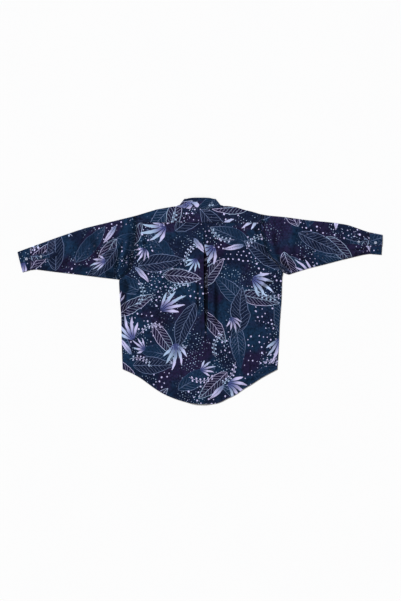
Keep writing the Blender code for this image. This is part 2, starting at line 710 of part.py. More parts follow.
def sleeve_buttons(side, finish):
    """Button on the cuff and a smaller one on the placket."""
    table = LEFT_SLEEVE if side < 0 else RIGHT_SLEEVE
    word = "left" if side < 0 else "right"
    over = REST + 2 * LAYER + WALL / 2 + GAP
    x, y = table["cuff_button"]
    button(f"cuff_button_{word}", x, y, over, BUTTON_R, 1, finish)
    centre, _ = sleeve_ring_point(side, PLACKET_BUTTON_SHARE, PLACKET_MIDDLE)
    seat = float(centre[2]) + LAYER + PLACKET_EXTRA + WALL / 2 + GAP
    button(f"placket_button_{word}", float(centre[0]), float(centre[1]), seat, SLEEVE_BUTTON_R, 1, finish)


def build():
    """Makes every piece of the shirt."""
    for leftover in list(bpy.data.objects):
        bpy.data.objects.remove(leftover)
    cloth = material("navy_print", 0.8)
    shell = material("grey_button", 0.35)
    back_panel(cloth)
    yoke_panel(cloth)
    front_panel("front_left", -1, cloth)
    front_panel("front_right", 1, cloth)
    for side, word in ((-1, "left"), (1, "right")):
        sleeve(f"sleeve_{word}", side, cloth)
        cuff(f"cuff_{word}", side, cloth)
        sleeve_placket(f"placket_{word}", side, cloth)
        sleeve_buttons(side, shell)
    collar_stand(cloth)
    collar_leaf(cloth)
    for number, y in enumerate(FRONT_BUTTON_YS):
        front_button(number, y, shell)


build()
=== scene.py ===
"""The looks of a long-sleeve button shirt in printed cotton, laid flat with its back side up.

Sizes are millimetres: +X along the wearer's right sleeve, +Y towards the collar, +Z up from the
surface that the shirt lies on. Meshes are made in metres. Each sheet of cloth is a thin closed shell
about a grid of middle points, and the heights of the layers are the same as those of the frame.
"""

import logging
import math
from dataclasses import dataclass
from enum import Enum

import bpy
import numpy as np
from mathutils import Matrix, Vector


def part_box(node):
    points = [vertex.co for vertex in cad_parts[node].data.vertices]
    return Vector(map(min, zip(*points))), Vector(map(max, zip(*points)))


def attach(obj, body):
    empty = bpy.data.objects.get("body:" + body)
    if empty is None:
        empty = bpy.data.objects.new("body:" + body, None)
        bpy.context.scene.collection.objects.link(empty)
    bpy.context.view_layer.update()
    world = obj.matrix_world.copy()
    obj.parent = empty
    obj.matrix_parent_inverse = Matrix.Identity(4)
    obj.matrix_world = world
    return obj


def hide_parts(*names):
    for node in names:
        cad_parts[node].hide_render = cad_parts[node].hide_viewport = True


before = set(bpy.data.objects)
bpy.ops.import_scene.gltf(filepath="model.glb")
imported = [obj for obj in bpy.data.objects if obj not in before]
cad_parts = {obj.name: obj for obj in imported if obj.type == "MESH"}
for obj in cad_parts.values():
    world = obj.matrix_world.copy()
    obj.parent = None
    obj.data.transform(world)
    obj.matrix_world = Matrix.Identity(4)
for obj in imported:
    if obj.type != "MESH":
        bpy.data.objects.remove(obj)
LOG = logging.getLogger("shirt")
MM = 0.001

# Layers: the wall that the frame gives the cloth, the cloth itself and what lies between
WALL = 1.0
GAP = 0.3
LAYER = WALL + GAP
FOLD_INSET = LAYER / 2 + WALL / 2
CLOTH = 0.7
REST = WALL / 2
BUTTON_THICK = 2.2
BUTTON_LIFT = BUTTON_THICK + GAP

# Half the thickness of thread, the angle in degrees past which an edge is shaded sharp, the steps of
# a turned fold and a distance too small to matter
THREAD_RADIUS = 0.24
SHARP_EDGE = 50.0
FOLD_STEPS = 8
TINY = 0.1

# Creases: the share of a crease over which it fades at each end, what is left at the very end, and
# how near loose cloth comes to what lies below, with the softness of that limit
CREASE_FADE = 0.35
CREASE_START = 0.15
LEAST_REST = 0.2
SOFT_REST = 0.4

# Outline of the body: points in order along each edge, columns x and y
SHOULDER = ((-273, 367), (-224, 382), (-189, 393), (-155, 399), (-120, 405), (-86, 408),
            (86, 408), (120, 408), (155, 403), (189, 392), (224, 384), (260, 373))
LEFT_EDGE = ((-273, 367), (-275, 283), (-285, 227), (-289, 180), (-298, 137), (-348, 91),
             (-348, 72), (-344, 4), (-339, -65), (-336, -203), (-333, -294))
RIGHT_EDGE = ((260, 373), (267, 283), (284, 219), (305, 184), (331, 158), (359, 122),
              (353, 107), (350, 4), (342, -100), (338, -203), (332, -294))
HEM = ((-333, -293), (-292, -311), (-258, -330), (-224, -355), (-189, -381), (-155, -401),
       (-120, -416), (-86, -428), (-52, -437), (17, -444), (52, -441), (86, -432), (120, -419),
       (155, -402), (189, -377), (224, -357), (258, -334), (292, -315), (332, -294))
YOKE_SEAM_Y = 337.0
YOKE_FRONT_DROP = 35.0
SHOULDER_SLOPES = (0.218, 0.2)
NECK_POINT_Y = 408.0
FRONT_EDGE_X = 17.0
BAND_STITCHES = (-17.0, 13.5)
FRONT_HEM_SHARE = 0.84
NECK_HALF = 85.0
NECK_REACH = 84.0
NECK_BACK_DROP = 3.0
NECK_FRONT_DROP = 92.0
NECK_CURVE_POWER = 3.0
BEND_POWER = 3
CORNER_Y = -294.0
STAND_TOP_HALF = 61.5
STAND_SIDE_Y = (406.0, 436.0)
STAND_TOP_Y = 442.3
LEAF_POINT = (45.0, 290.0)


class Side(Enum):
    """The wearer's left, at -X, or right, at +X."""

    LEFT = -1
    RIGHT = 1

    @property
    def word(self) -> str:
        """The side's word in the names of pieces."""
        return self.name.lower()


def ease(value: np.ndarray) -> np.ndarray:
    """Smooth step from 0 to 1: 3t² - 2t³ of the value kept between 0 and 1."""
    t = np.clip(value, 0.0, 1.0)
    return t * t * (3 - 2 * t)


def plateau(offset: np.ndarray, half: float, fade: float) -> np.ndarray:
    """1 within half of the middle, easing to 0 over fade."""
    return 1 - ease((np.abs(offset) - half) / fade)


def bell(offset: np.ndarray, half: float) -> np.ndarray:
    """Bell curve: e to the minus square of offset over half."""
    return np.exp(-((offset / half) ** 2))


def lengths_along(points: np.ndarray, axis: int = 0) -> np.ndarray:
    """Length from the first point on, along a path, or along each column or row of a grid."""
    steps = np.linalg.norm(np.diff(points, axis=axis), axis=-1)
    return np.concatenate([np.zeros_like(np.take(steps, [0], axis)), np.cumsum(steps, axis)], axis)


class Line:
    """A line through points, its corners rounded by a moving average along its length."""

    def __init__(self, points: tuple, reach: float = 16.0, samples: int = 900) -> None:
        """Samples the line evenly and averages it over reach, its ends kept.

        Args:
            points: corners in order, each x and y.
            reach: how far each way along the line the average goes.
            samples: number of points kept.
        """
        corners = np.array(points, float)
        length = lengths_along(corners)
        at = np.linspace(0, length[-1], samples)
        even = np.column_stack([np.interp(at, length, corners[:, i]) for i in (0, 1)])
        half = max(1, round(reach / length[-1] * samples))
        before = 2 * even[0] - even[half:0:-1]
        after = 2 * even[-1] - even[-2:-half - 2:-1]
        padded = np.vstack([before, even, after])
        kernel = np.hanning(2 * half + 3)[1:-1]
        kernel = kernel / kernel.sum()
        self.points = np.column_stack([np.convolve(padded[:, i], kernel, "valid") for i in (0, 1)])
        self.lengths = lengths_along(self.points)

    def x_at(self, y: np.ndarray) -> np.ndarray:
        """x where the line is at height y, for a line that only falls."""
        return np.interp(y, self.points[::-1, 1], self.points[::-1, 0])

    def y_at(self, x: np.ndarray) -> np.ndarray:
        """y where the line is at x, for a line that runs to +X."""
        return np.interp(x, self.points[:, 0], self.points[:, 1])

    def at(self, share: np.ndarray) -> np.ndarray:
        """Points at shares of the line's length."""
        way = np.asarray(share) * self.lengths[-1]
        return np.stack([np.interp(way, self.lengths, self.points[:, i]) for i in (0, 1)], -1)


SHOULDER_LINE = Line(SHOULDER)
EDGES = {Side.LEFT: Line(LEFT_EDGE), Side.RIGHT: Line(RIGHT_EDGE)}
HEM_LINE = Line(HEM, 30.0)


def spaced(length: np.ndarray, near: tuple, far: tuple, count: int) -> np.ndarray:
    """Distances along runs: fixed ones near both ends and even ones between.

    Args:
        length: length of each run.
        near: distances from the start, from 0 up.
        far: distances from the end, down to 0.
        count: number of even ones between.

    Returns:
        Array with one more axis than length, the distances from the start.
    """
    run = np.asarray(length, float)[..., None]
    shape = run.shape[:-1]
    start = np.broadcast_to(np.array(near, float), shape + (len(near),))
    end = run - np.array(far, float)
    share = np.linspace(0, 1, count + 2)[1:-1]
    between = near[-1] + (run - near[-1] - far[0]) * share
    return np.concatenate([start, between, np.broadcast_to(end, shape + (len(far),))], -1)


@dataclass(frozen=True)
class Crease:
    """A soft ridge, or a trough where rise is below 0, along a straight or bowed line."""

    x0: float
    y0: float
    x1: float
    y1: float
    half: float
    rise: float
    bow: float = 0.0
    lean: float = 0.0

    def height(self, x: np.ndarray, y: np.ndarray) -> np.ndarray:
        """Bell across the line, faded at its ends, steeper on one side where it leans.

        Args:
            x: places along X.
            y: places along Y.

        Returns:
            Height of the crease at each place.
        """
        run_x, run_y = self.x1 - self.x0, self.y1 - self.y0
        length = math.hypot(run_x, run_y)
        share = ((x - self.x0) * run_x + (y - self.y0) * run_y) / length**2
        across = ((x - self.x0) * run_y - (y - self.y0) * run_x) / length
        across = across - self.bow * (1 - (2 * share - 1) ** 2)
        wide = self.half * (1 + self.lean * np.tanh(across / self.half))
        ends = ease(share / CREASE_FADE + CREASE_START) * ease((1 - share) / CREASE_FADE + CREASE_START)
        return self.rise * ends * bell(across, wide)


def relief(creases: tuple, x: np.ndarray, y: np.ndarray) -> np.ndarray:
    """Sum of the heights of creases at each place."""
    return sum((crease.height(x, y) for crease in creases), np.zeros(np.broadcast(x, y).shape))


def hollow(height: np.ndarray, deep: float = 6.0) -> np.ndarray:
    """How far a place lies down in a trough, 0 to 1, for the shade that gathers there."""
    return ease(-height / deep)


def settled(height: np.ndarray) -> np.ndarray:
    """Height of loose cloth, kept off what lies below: the softened greater of it and a least one."""
    above = height - LEAST_REST
    return LEAST_REST + (above + np.sqrt(above**2 + SOFT_REST)) / 2


@dataclass(frozen=True)
class Lay:
    """Heights of the body's layers, each the middle of its sheet."""

    band_half: float = 20.0
    band_fade: float = 40.0
    leaf_half: float = 104.0
    leaf_fade: float = 96.0
    leaf_low_y: float = 232.0
    leaf_rise: float = 54.0
    pleat_half: float = 24.0
    pleat_fade: float = 60.0
    pleat_fade_up: float = 50.0
    lip_rise: float = 3.4
    lip_fade_up: float = 90.0
    lip_low_y: float = -118.0
    lip_fade_down: float = 60.0
    swell: float = 4.8
    crease_gain: float = 3.5
    swell_edge: float = 36.0
    shoulder_edge: float = 40.0
    shoulder_start: float = 0.1

    def band(self, x: np.ndarray) -> np.ndarray:
        """1 over the button band, easing to 0 beside it."""
        return plateau(x, self.band_half, self.band_fade)

    def front(self, x: np.ndarray, y: np.ndarray) -> np.ndarray:
        """Lowest layer: flat, raised over the collar's points and over the buttons."""
        leaf = plateau(x, self.leaf_half, self.leaf_fade) * ease((y - self.leaf_low_y) / self.leaf_rise)
        return REST + LAYER * leaf + BUTTON_LIFT * self.band(x)

    def under(self, x: np.ndarray, y: np.ndarray) -> np.ndarray:
        """First layer above both fronts."""
        return self.front(x, y) + LAYER + LAYER * self.band(x)

    def inside(self, x: np.ndarray, y: np.ndarray) -> np.ndarray:
        """0 along the body's outline, easing to 1 inside it."""
        left = ease((x - EDGES[Side.LEFT].x_at(y)) / self.swell_edge)
        right = ease((EDGES[Side.RIGHT].x_at(y) - x) / self.swell_edge)
        hem = ease((y - HEM_LINE.y_at(x)) / self.swell_edge)
        shoulder = ease((SHOULDER_LINE.y_at(x) - y) / self.shoulder_edge - self.shoulder_start)
        return left * right * hem * shoulder

    def pleat_lift(self, x: np.ndarray, y: np.ndarray) -> np.ndarray:
        """How far the pleat lifts the upper layer, with the roll of its lips."""
        fade_up = 1 - ease((y - YOKE_SEAM_Y) / self.pleat_fade_up)
        beside = plateau(x - PLEAT.centre(y), self.pleat_half, self.pleat_fade)
        return (PLEAT.drop(y) + self.lips(y)) * fade_up * beside

    def lips(self, y: np.ndarray) -> np.ndarray:
        """Extra roll of the pleat's lips where it stands open."""
        fade_up = ease((YOKE_SEAM_Y - y) / self.lip_fade_up)
        return self.lip_rise * fade_up * ease((y - self.lip_low_y) / self.lip_fade_down)

    def back(self, x: np.ndarray, y: np.ndarray) -> np.ndarray:
        """Upper layer of the back and yoke."""
        loose = settled(self.swell + self.crease_gain * relief(BODY_CREASES, x, y))
        return self.under(x, y) + self.pleat_lift(x, y) + loose * self.inside(x, y)


@dataclass(frozen=True)
class Pleat:
    """Inverted box pleat down the back, which opens below the yoke and dies out in the tail.

    rows: y, the centre's x, half of the open gap, the fold's depth, its turn in degrees and
    the depth of the channel.
    """

    rows: tuple = (
        (337, 17.2, 0.15, 11.0, 180, 2.6),
        (225, 18.5, 1.5, 11.0, 180, 2.6),
        (190, 24.0, 7.0, 11.0, 180, 2.6),
        (90, 25.5, 8.5, 10.0, 180, 2.6),
        (-20, 26.0, 8.0, 7.0, 180, 2.6),
        (-85, 26.0, 6.5, 1.0, 180, 2.6),
        (-105, 26.0, 5.0, 0.6, 90, 2.2),
        (-130, 26.0, 4.0, 3.0, 26, 1.6),
        (-190, 26.0, 4.0, 5.0, 10, 0.8),
        (-290, 26.0, 4.0, 6.0, 3, 0.2),
        (-450, 26.0, 4.0, 6.0, 2, 0.1),
    )
    least_run: float = 0.4
    least_drop: float = 1.0
    least_slope: float = 0.02
    run_steps: int = 4
    folded_over: float = 170.0

    def column(self, y: np.ndarray, index: int) -> np.ndarray:
        """One column of the table at heights y."""
        table = np.array(self.rows, float)[::-1]
        return np.interp(y, table[:, 0], table[:, index])

    def centre(self, y: np.ndarray) -> np.ndarray:
        """x of the pleat's centre."""
        return self.column(y, 1)

    def drop(self, y: np.ndarray) -> np.ndarray:
        """Depth of the channel between the folds."""
        return self.column(y, 5)

    def half(self, y: np.ndarray, extra: np.ndarray) -> np.ndarray:
        """Half a pleat from the upper layer to the channel.

        Two arcs of the same turn joined by a straight run: at 180 degrees it is a fold over and a
        fold back, and at small turns a gentle slope.

        Args:
            y: heights of the rows, one axis.
            extra: extra depth at each row, which widens the arcs.

        Returns:
            Rows by steps by (x from the centre, depth below the upper layer).
        """
        gap, depth, turned, drop = (self.column(y, i)[:, None] for i in (2, 3, 4, 5))
        angle = np.radians(turned)
        extra = extra[:, None]
        radius = math.pi * LAYER / 2 / angle * (1 + extra / np.maximum(drop, self.least_drop))
        bends = 2 * radius * (1 - np.cos(angle))
        slope = np.maximum(np.sin(angle), self.least_slope)
        sloped = np.maximum((drop + extra - bends) / slope, self.least_run)
        straight = np.where(turned > self.folded_over, depth, sloped)
        steps = angle * np.linspace(0, 1, FOLD_STEPS + 1)
        first_x = radius * np.sin(steps)
        first_z = radius * (1 - np.cos(steps))
        run = np.linspace(0, 1, self.run_steps + 1)[1:]
        run_x = first_x[:, -1:] + straight * np.cos(angle) * run
        run_z = first_z[:, -1:] + straight * np.sin(angle) * run
        back = steps[:, ::-1][:, 1:]
        last_x = run_x[:, -1:] + radius * (np.sin(angle) - np.sin(back))
        last_z = run_z[:, -1:] + radius * (np.cos(back) - np.cos(angle))
        x = np.hstack([first_x, run_x, last_x])
        z = np.hstack([first_z, run_z, last_z])
        x = x - (gap + radius * np.sin(np.minimum(angle, math.pi / 2)) + WALL / 2)
        return np.stack([x, z], -1)


PLEAT = Pleat()
LAY = Lay()

# Creases of the back: soft ridges and troughs, in the order collar to tail
BODY_CREASES = (
    Crease(-11, 100, -9, -60, 7, -1.8),
    Crease(-22, 90, -20, -50, 7, 0.9),
    Crease(71, 85, 72, -120, 7, -2.4, 2),
    Crease(60, 70, 61, -100, 8, 1.1),
    Crease(225, 318, 268, 262, 9, 2.4, 4, 0.3),
    Crease(234, 322, 276, 250, 7, -2.2, 4),
    Crease(258, 300, 300, 165, 12, 2.6, -6, -0.3),
    Crease(266, 262, 306, 150, 8, -2.8, 5),
    Crease(240, 250, 276, 140, 16, 1.2, 6),
    Crease(-326, 100, -326, -110, 15, -3.8, 2),
    Crease(-336, 92, -312, 30, 13, -2.6, -3),
    Crease(-303, 60, -306, -110, 15, 1.8, 3),
    Crease(-276, 292, -274, 160, 11, -4.4, -3),
    Crease(-250, 300, -256, 160, 13, 2.0, -4, 0.4),
    Crease(-230, 210, -296, 92, 14, 1.6, 6),
    Crease(-236, 192, -300, 78, 9, -1.4, 6),
    Crease(322, 92, 262, 42, 10, -1.6, 4),
    Crease(330, 60, 270, -10, 14, 1.4, 6),
    Crease(-90, 215, -190, 20, 30, 1.2, 10),
    Crease(-66, 190, -160, 10, 14, -0.9, 12),
    Crease(-150, 290, -70, 250, 22, 1.0),
    Crease(120, 240, 60, 190, 20, 1.0),
    Crease(150, 130, 250, -70, 34, 1.2, -12),
    Crease(184, 120, 270, -60, 16, -0.9, -14),
    Crease(-60, -150, -170, -300, 40, 1.1, 10),
    Crease(-34, -160, -140, -310, 18, -0.8, 10),
    Crease(110, -160, 190, -310, 36, 1.1, -8),
    Crease(84, -170, 160, -300, 16, -0.8, -8),
    Crease(10, -230, 40, -390, 34, 1.0, 6),
    Crease(-300, -150, -270, -270, 20, 1.3),
    Crease(300, -120, 285, -250, 20, 1.4),
    Crease(-200, -20, -120, -130, 36, -0.9),
    Crease(180, -60, 120, -190, 32, -0.8),
)


@dataclass
class Sheet:
    """A grid of middle points of a sheet of cloth, its normals, its place in the cut and its edges.

    points: rows by columns by 3, millimetres. cut: the same grid by 2, where each point lies in the
    cloth before it was sewn, millimetres. closed: the last column joins the first, and cut then has
    one more column. cells: which cells of the grid are cloth.
    """

    name: str
    points: np.ndarray
    cut: np.ndarray
    closed: bool = False
    cells: np.ndarray | None = None
    thickness: float | np.ndarray = CLOTH
    # Painted shade at each point, 0 to 1, which darkens the cloth's colour in folds, troughs and seams
    painted_shade: np.ndarray | None = None

    def normals(self) -> np.ndarray:
        """Unit normals: the cross product of the central differences down rows and across columns."""
        points = self.points
        if self.closed:
            across = np.roll(points, -1, 1) - np.roll(points, 1, 1)
        else:
            across = np.gradient(points, axis=1)
        down = np.gradient(points, axis=0)
        normal = np.cross(down, across)
        return normal / np.maximum(np.linalg.norm(normal, axis=2, keepdims=True), 1e-9)

    def flipped(self) -> "Sheet":
        """The same sheet with its columns in the other order, so that its normals turn round."""
        shift = 1 if self.closed else 0
        cells = None if self.cells is None else self.cells[:, ::-1]
        thickness = self.thickness
        if isinstance(thickness, np.ndarray):
            thickness = np.roll(thickness[:, ::-1], shift, 1)
        points = np.roll(self.points[:, ::-1], shift, 1)
        painted_shade = None if self.painted_shade is None else np.roll(self.painted_shade[:, ::-1], shift, 1)
        return Sheet(self.name, points, self.cut[:, ::-1], self.closed, cells, thickness, painted_shade)

    def facing(self, side: Side) -> "Sheet":
        """This sheet with its faces outward: the right side's is built as a mirror image and flipped."""
        return self.flipped() if side is Side.RIGHT else self

    def along_row(self, row: float, margin: float, samples: int) -> tuple:
        """Points along a row, margin columns in from its ends; a row of 0 or less counts from the last."""
        last_row, last = self.points.shape[0] - 1, self.points.shape[1] - 1
        row = row + last_row if row <= 0 else row
        return self.line((row, margin), (row, last - margin), samples)

    def down_column(self, column: float, first: float, end: float, samples: int) -> tuple:
        """Points down a column from one row to another; numbers of 0 or less count from the last."""
        last_row, last = self.points.shape[0] - 1, self.points.shape[1] - 1
        column = column + last if column <= 0 else column
        first, end = (row + last_row if row <= 0 else row for row in (first, end))
        return self.line((first, column), (end, column), samples)

    def area(self) -> float:
        """Area of the middle surface in square metres: half the diagonals' cross product, summed."""
        points = self.points
        if self.closed:
            points = np.concatenate([points, points[:, :1]], 1)
        one = points[1:, 1:] - points[:-1, :-1]
        other = points[1:, :-1] - points[:-1, 1:]
        cells = np.linalg.norm(np.cross(one, other), axis=2) / 2
        return float((cells if self.cells is None else cells * self.cells).sum()) * MM * MM

    def line(self, start: tuple, end: tuple, samples: int) -> tuple:
        """Points on the outer face of the sheet along a straight path over its grid.

        Args:
            start: row and column where the path begins, fractions allowed.
            end: row and column where it ends.
            samples: number of points along it.

        Returns:
            Points and unit normals along the path.
        """
        rows, columns = np.linspace(start, end, samples).T
        count = self.points.shape[1]
        row = np.clip(np.floor(rows).astype(int), 0, self.points.shape[0] - 2)
        column = np.floor(columns).astype(int)
        if not self.closed:
            column = np.clip(column, 0, count - 2)
        a, b = (rows - row)[:, None], (columns - column)[:, None]
        near, far = column % count, (column + 1) % count

        def blend(values: np.ndarray) -> np.ndarray:
            """Values between the four corners of each cell."""
            upper = values[row, near] * (1 - b) + values[row, far] * b
            lower = values[row + 1, near] * (1 - b) + values[row + 1, far] * b
            return upper * (1 - a) + lower * a

        normal = blend(self.normals())
        normal = normal / np.linalg.norm(normal, axis=1)[:, None]
        thick = self.thickness
        half = blend(thick[..., None]) / 2 if isinstance(thick, np.ndarray) else thick / 2
        return blend(self.points) + normal * half, normal

    def build(self, material: bpy.types.Material) -> bpy.types.Object:
        """Closed shell: both faces half a thickness from the middle, joined along every open edge.

        Args:
            material: the cloth's finish.

        Returns:
            The new object, with its cut as UV map in metres.
        """
        rows, columns = self.points.shape[:2]
        half = np.asarray(self.thickness, float)
        half = np.broadcast_to(half, (rows, columns))[..., None] / 2
        normal = self.normals() * half
        vertices = np.concatenate([(self.points + normal).reshape(-1, 3),
                                   (self.points - normal).reshape(-1, 3)])
        wide = columns if self.closed else columns - 1
        r, c = np.meshgrid(np.arange(rows - 1), np.arange(wide), indexing="ij")
        keep = np.ones(r.shape, bool) if self.cells is None else self.cells
        r, c = r[keep], c[keep]
        cut_columns = self.cut.shape[1]
        corner_r = np.stack([r, r + 1, r + 1, r], 1)
        corner_c = np.stack([c, c, c + 1, c + 1], 1)
        top = corner_r * columns + corner_c % columns
        top_cut = corner_r * cut_columns + corner_c
        start, end = top, np.roll(top, -1, 1)
        start_cut, end_cut = top_cut, np.roll(top_cut, -1, 1)
        size = rows * columns
        ahead, behind = (start * size + end).ravel(), (end * size + start).ravel()
        rim = ~np.isin(ahead, behind)
        a, b = start.ravel()[rim], end.ravel()[rim]
        a_cut, b_cut = start_cut.ravel()[rim], end_cut.ravel()[rim]
        rim_faces = np.stack([b, a, a + size, b + size], 1)
        rim_cut = np.stack([b_cut, a_cut, a_cut, b_cut], 1)
        faces = np.vstack([top, top[:, ::-1] + size, rim_faces])
        cuts = np.vstack([top_cut, top_cut[:, ::-1], rim_cut])
        painted_shade = None if self.painted_shade is None else np.tile(self.painted_shade.ravel(), 2)
        cut = self.cut.reshape(-1, 2)[cuts.ravel()]
        return cloth_object(self.name, vertices, faces, cut, material, painted_shade)


def linked(name: str, data: bpy.types.ID) -> bpy.types.Object:
    """A new object of a mesh, lamp or camera, linked to the scene."""
    made = bpy.data.objects.new(name, data)
    bpy.context.scene.collection.objects.link(made)
    return made


def cloth_object(name: str, vertices: np.ndarray, faces: np.ndarray, cut: np.ndarray | None,
                 material: bpy.types.Material, painted_shade: np.ndarray | None = None) -> bpy.types.Object:
    """Makes a named object from arrays, without the points that no face uses.

    Args:
        name: the piece's name.
        vertices: points in millimetres.
        faces: four or more corners a face.
        cut: UV of each corner in millimetres, or None.
        material: its finish.
        painted_shade: painted shade at each point, 0 to 1, by which the material darkens the cloth in folds,
            troughs and seams; kept as an attribute.

    Returns:
        The object, linked to the scene.
    """
    used, places = np.unique(faces, return_inverse=True)
    faces = places.reshape(faces.shape)
    points = vertices[used] * MM
    mesh = bpy.data.meshes.new(name)
    mesh.vertices.add(len(points))
    mesh.vertices.foreach_set("co", points.astype(np.float32).ravel())
    corners = faces.shape[1]
    mesh.loops.add(faces.size)
    mesh.loops.foreach_set("vertex_index", faces.ravel().astype(np.int32))
    mesh.polygons.add(len(faces))
    mesh.polygons.foreach_set("loop_start", np.arange(0, faces.size, corners, dtype=np.int32))
    if cut is not None:
        layer = mesh.uv_layers.new(name="cut")
        layer.data.foreach_set("uv", (cut * MM).astype(np.float32).ravel())
    # Painted shade, kept on the points for the cloth's material to darken its colour
    if painted_shade is not None:
        depth = mesh.attributes.new("painted_shade", "FLOAT", "POINT")
        depth.data.foreach_set("value", painted_shade[used].astype(np.float32))
    mesh.update(calc_edges=True)
    mesh.validate()
    mesh.shade_smooth()
    mesh.set_sharp_from_angle(angle=math.radians(SHARP_EDGE))
    mesh.materials.append(material)
    return linked(name, mesh)


def place(obj: bpy.types.Object, slot: str, *nodes: str) -> bpy.types.Object:
    """Fixes a piece to the shirt's body, hides the nodes that it stands for and logs its triangles."""
    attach(obj, "root")
    if nodes:
        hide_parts(*nodes)
    triangles = sum(len(polygon.vertices) - 2 for polygon in obj.data.polygons)
    LOG.info("%s: %d triangles", obj.name, triangles)
    return obj


def run_lengths(points: np.ndarray, zero: int) -> np.ndarray:
    """Length along each row of a grid, measured from one column."""
    length = lengths_along(points, 1)
    return length - length[:, zero:zero + 1]


def cut_at(across: np.ndarray, along: np.ndarray, corner: tuple) -> np.ndarray:
    """Where each point lies in the cut: its lengths, moved to the panel's own corner of the cloth."""
    return np.stack(np.broadcast_arrays(across + corner[0], along + corner[1]), -1)


def level(x: np.ndarray, y: np.ndarray, z: np.ndarray) -> np.ndarray:
    """Stacks places and heights into one grid of points."""
    x, y, z = np.broadcast_arrays(x, y, z)
    return np.stack([x, y, z], -1)


def half_turn(start: np.ndarray, end: np.ndarray, bulge: np.ndarray, steps: int = FOLD_STEPS) -> np.ndarray:
    """Half circles from each start to each end, bulging one way, without both ends.

    Args:
        start: rows by 3.
        end: rows by 3.
        bulge: unit vectors, rows by 3.
        steps: parts of the half circle.

    Returns:
        Rows by steps - 1 by 3.
    """
    centre = ((start + end) / 2)[:, None]
    arm = ((start - end) / 2)[:, None]
    radius = np.linalg.norm(arm, axis=2, keepdims=True)
    angle = np.linspace(0, math.pi, steps + 1)[1:-1][None, :, None]
    return centre + arm * np.cos(angle) + bulge[:, None] * radius * np.sin(angle)


